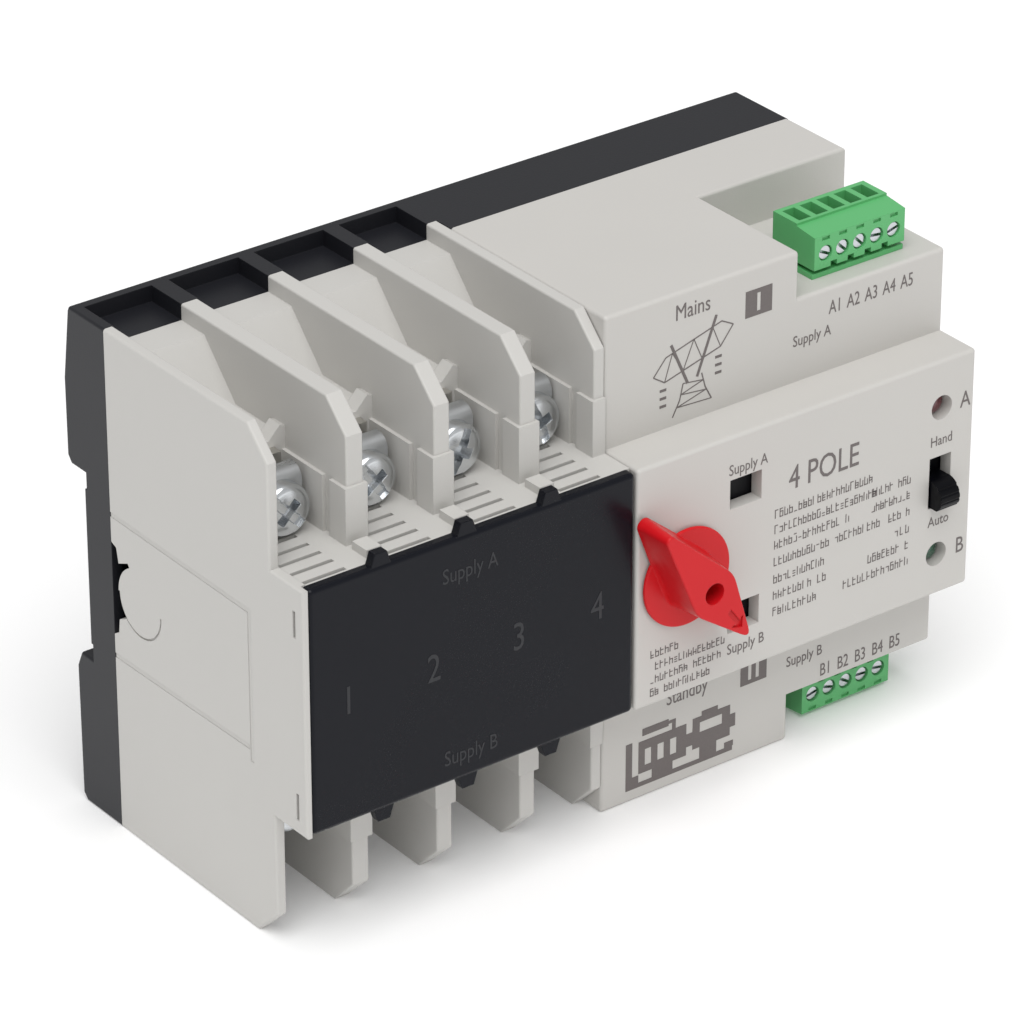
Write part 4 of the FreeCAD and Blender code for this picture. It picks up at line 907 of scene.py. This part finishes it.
WAYS = len(islands("plug_screws_a"))
FIRST_WAY_X, WAY_STEP, WAY_HEIGHT, WAY_NARROW = 46.9, 4.02, 2.6, 0.7
WAY_ROWS = (("A", 0.0, 35.1), ("B", 0.2, -36.6))            # letter, shift in x, z
POLE_X = [(low.x + high.x) / 2 / MM for low, high in islands("source_a_screws")]
LABELS = (                 # text, x, z, letter height, narrowing
    ("A", 69.4, 13.9, 3.2, 0.8), ("B", 69.4, -15.0, 3.2, 0.8), ("4 POLE", 37.6, 10.8, 4.7, 0.78),
    ("Supply A", 20.7, 16.7, 2.1, 0.82), ("Supply B", 20.9, -18.2, 2.1, 0.82),
    ("Hand", 64.2, 7.6, 2.0, 0.85), ("Auto", 64.2, -8.3, 2.0, 0.85),
    ("Mains", 15.5, 44.1, 3.0, 0.8), ("Standby", 15.6, -30.2, 2.9, 0.72),
    ("Supply A", 41.8, 30.9, 2.1, 0.82), ("Supply B", 42.1, -32.3, 2.1, 0.82),
)
ink_shapes += [lettering(*label) for label in LABELS]
ink_shapes += [lettering("%s%d" % (letter, way + 1), FIRST_WAY_X + way * WAY_STEP + shift, z,
                         WAY_HEIGHT, WAY_NARROW)
               for way in range(WAYS) for letter, shift, z in WAY_ROWS]
cover_shapes = [lettering(str(number), x, 0.0, 5.4) for number, x in enumerate(POLE_X, start=1)]
print("pole numbers at x =", [round(x, 1) for x in POLE_X])

# %% [markdown]
# ## Pictograms
# Above the panel a mast stands for the mains supply, and below it a small engine and generator stand for
# the second supply. Both are plain pictograms drawn from thin straight bars and blocks, each a little
# solid of ink. The two dark boxes with their numerals are drawn round the numeral, which is left open.

# %% Bars and blocks of ink
FINE, MEDIUM, BOLD, HEAVY = 0.18, 0.22, 0.24, 0.55      # widths of the mast's strokes
CROSSING_RISE = 0.002       # keeps strokes that cross from sharing a face


def ink_bar(x0, z0, x1, z1, width, rise=0.0):
    """A straight stroke between two points, in millimetres; rise sets it before the strokes it crosses."""
    length = math.hypot(x1 - x0, z1 - z0)
    x, z = (x0 + x1) / 2, (z0 + z1) / 2
    y = panel_at(x * MM, z * MM) / MM - INK_T / MM / 2 - rise
    return block((length, INK_T / MM, width), (x, y, z), math.atan2(z0 - z1, x1 - x0))


def ink_block(x0, z0, x1, z1):
    return ink_bar(x0, (z0 + z1) / 2, x1, (z0 + z1) / 2, z1 - z0)


def zigzag(points, width):
    return [ink_bar(*a, *b, width, rise=CROSSING_RISE * (i % 2))
            for i, (a, b) in enumerate(zip(points, points[1:]))]


def mast():
    arm_low = [(7.2, 33.6), (9.6, 32.0), (21.6, 35.2), (24.3, 38.6)]
    arm_high = [(7.2, 33.6), (9.8, 36.6), (21.8, 39.9), (24.3, 38.6)]
    lattice = [(9.6, 32.0), (11.2, 37.0), (13.6, 33.1), (15.8, 38.3), (17.6, 34.2), (19.8, 39.4),
               (21.6, 35.2)]
    tower_left = [(13.6, 30.6), (12.9, 27.6), (11.4, 24.8)]
    tower_right = [(17.6, 31.4), (18.4, 28.6), (19.8, 26.0)]
    braces = [(13.6, 30.6), (18.0, 30.0), (13.1, 28.6), (18.6, 28.0), (12.3, 26.4), (19.8, 26.0)]
    strokes = (zigzag(arm_low, MEDIUM) + zigzag(arm_high, MEDIUM) + zigzag(lattice, FINE)
               + zigzag(tower_left, BOLD) + zigzag(tower_right, BOLD) + zigzag(braces, FINE))
    legs = [ink_bar(10.9, 38.6, 14.6, 30.4, HEAVY, 2 * CROSSING_RISE),
            ink_bar(20.6, 41.4, 16.6, 31.0, HEAVY, 2 * CROSSING_RISE)]
    insulators = [ink_block(x - 0.7, z - 0.25, x + 0.7, z + 0.25)
                  for x, top in ((9.3, 30.6), (21.2, 33.4)) for z in (top, top - 1.5, top - 3.0)]
    return strokes + legs + insulators


def generator_set():
    rail = [(2.2, -45.6, 26.0, -44.7), (24.2, -44.7, 26.2, -43.6)]
    radiator = [(2.2, -44.7, 3.6, -36.2), (3.6, -44.7, 5.0, -43.2)]
    engine = [(5.0, -38.4, 15.6, -36.6), (5.0, -43.0, 15.6, -41.6), (5.0, -41.6, 6.4, -38.4),
              (7.8, -41.6, 9.2, -38.4), (10.6, -41.6, 12.0, -38.4), (13.4, -41.6, 15.6, -38.4)]
    silencer = [(5.8, -35.6, 11.6, -34.2), (11.6, -35.2, 13.2, -34.6), (12.4, -36.6, 13.2, -35.2)]
    coupling = [(15.6, -41.4, 17.0, -38.8)]
    alternator = [(17.0, -37.4, 25.4, -36.2), (17.0, -42.4, 25.4, -39.4), (17.0, -39.4, 18.6, -37.4),
                  (23.6, -39.4, 25.4, -37.4), (19.0, -36.2, 22.6, -35.3), (25.4, -40.8, 26.6, -38.2)]
    feet = [(8.0, -44.7, 12.6, -43.0), (18.6, -44.7, 22.4, -42.4)]
    return [ink_block(*corners) for group in (rail, radiator, engine, silencer, coupling, alternator, feet)
            for corners in group]


def numeral_box(x0, z0, x1, z1, bars):
    """A filled box with upright bars left open in it."""
    margin, slit, pitch = 0.8, 0.75, 1.7
    gaps = [(x0 + x1) / 2 + (i - (bars - 1) / 2) * pitch for i in range(bars)]
    edges = [x0] + [g + s * slit / 2 for g in gaps for s in (-1, 1)] + [x1]
    columns = [ink_block(a, z0 + margin, b, z1 - margin) for a, b in zip(edges[::2], edges[1::2])]
    return columns + [ink_block(x0, z0, x1, z0 + margin), ink_block(x0, z1 - margin, x1, z1)]


ink_shapes += mast() + generator_set()
ink_shapes += numeral_box(26.9, 38.7, 32.7, 43.7, 1) + numeral_box(27.6, -33.5, 33.5, -28.6, 2)
cover_shapes += [lettering("Supply A", -38.0, 16.4, 2.9), lettering("Supply B", -38.0, -18.2, 2.9)]


def joined(shapes):
    whole = bmesh.new()
    for shape in shapes:
        mesh = bpy.data.meshes.new("ink")
        shape.to_mesh(mesh)
        shape.free()
        whole.from_mesh(mesh)
        bpy.data.meshes.remove(mesh)
    return whole


panel_print = new_piece("panel_print", joined(ink_shapes), "root", "housing_warm", panel_ink)
cover_print = new_piece("cover_print", joined(cover_shapes), "root", "cover_black", cover_ink)
print("print faces:", len(panel_print.data.polygons), "and", len(cover_print.data.polygons))

# %% [markdown]
# ## Floor and light
# The switch stands on a plain pale floor in even studio light: a soft surround, a broad overhead lamp a
# little to the front and left, and a weak fill from the front. They are sun lamps with a wide angle, which
# light the whole floor alike and give soft shadows.

# %% Stage
FLOOR_Z = cad_box[0].z
FLOOR_HALF = 4.0            # in metres
FLOOR_WHITE = (0.90, 0.90, 0.90)
FLOOR_GLOW = 0.10           # keeps the surround white between the lamps
WORLD_STRENGTH = 0.48
floor_mesh = bpy.data.meshes.new("floor")
floor_mesh.from_pydata([(x, y, FLOOR_Z) for x, y in ((-FLOOR_HALF, -FLOOR_HALF), (FLOOR_HALF, -FLOOR_HALF),
                                                     (FLOOR_HALF, FLOOR_HALF), (-FLOOR_HALF, FLOOR_HALF))],
                       [], [(0, 1, 2, 3)])
floor = bpy.data.objects.new("floor", floor_mesh)
bpy.context.scene.collection.objects.link(floor)
floor_finish = Finish("pale_floor")
floor_finish.coloured(FLOOR_WHITE, 0.01, floor_finish.noise(3.0))
floor_finish.rough(0.85, 0.03, floor_finish.noise(8.0))
floor_finish.shader.inputs["Emission Color"].default_value = (1, 1, 1, 1)
floor_finish.shader.inputs["Emission Strength"].default_value = FLOOR_GLOW
floor_mesh.materials.append(floor_finish.material)

world = bpy.context.scene.world or bpy.data.worlds.new("surround")
bpy.context.scene.world = world
world.use_nodes = True
world.node_tree.nodes["Background"].inputs["Color"].default_value = (1.0, 1.0, 1.0, 1.0)
world.node_tree.nodes["Background"].inputs["Strength"].default_value = WORLD_STRENGTH


def distant_lamp(name, towards, power, angle):
    """Even light from one direction; a wide angle gives the soft shadow of a large softbox."""
    lamp = bpy.data.lights.new(name, "SUN")
    lamp.energy, lamp.angle = power, math.radians(angle)
    holder = bpy.data.objects.new(name, lamp)
    bpy.context.scene.collection.objects.link(holder)
    holder.rotation_euler = Vector(towards).to_track_quat("Z", "Y").to_euler()


distant_lamp("overhead_softbox", towards=(-0.22, -0.34, 0.92), power=2.2, angle=50)
distant_lamp("front_fill", towards=(0.30, -0.95, 0.10), power=0.12, angle=60)
print("floor at z =", round(FLOOR_Z / MM, 1), "mm")

# %% [markdown]
# ## Camera
# A long lens from the upper left, about a metre away, keeps the housing's edges nearly parallel. The
# direction behind the camera is given instead of a target, because the switch isn't centred in the view.

# %% Camera
CAMERA_AT = Vector((-0.5200, -0.7096, 0.4660))
CAMERA_BACK = Vector((-0.53097, -0.69953, 0.47825))
LENS_MM, SENSOR_MM = 198.67, 36.0
camera_data = bpy.data.cameras.new("camera")
camera_data.lens, camera_data.sensor_width = LENS_MM, SENSOR_MM
camera = bpy.data.objects.new("camera", camera_data)
bpy.context.scene.collection.objects.link(camera)
camera.location = CAMERA_AT
camera.rotation_euler = CAMERA_BACK.to_track_quat("Z", "Y").to_euler()
bpy.context.scene.camera = camera
bpy.context.scene.view_settings.view_transform = "Standard"
print("camera distance in m:", round(CAMERA_AT.length, 3), "lens in mm:", LENS_MM)
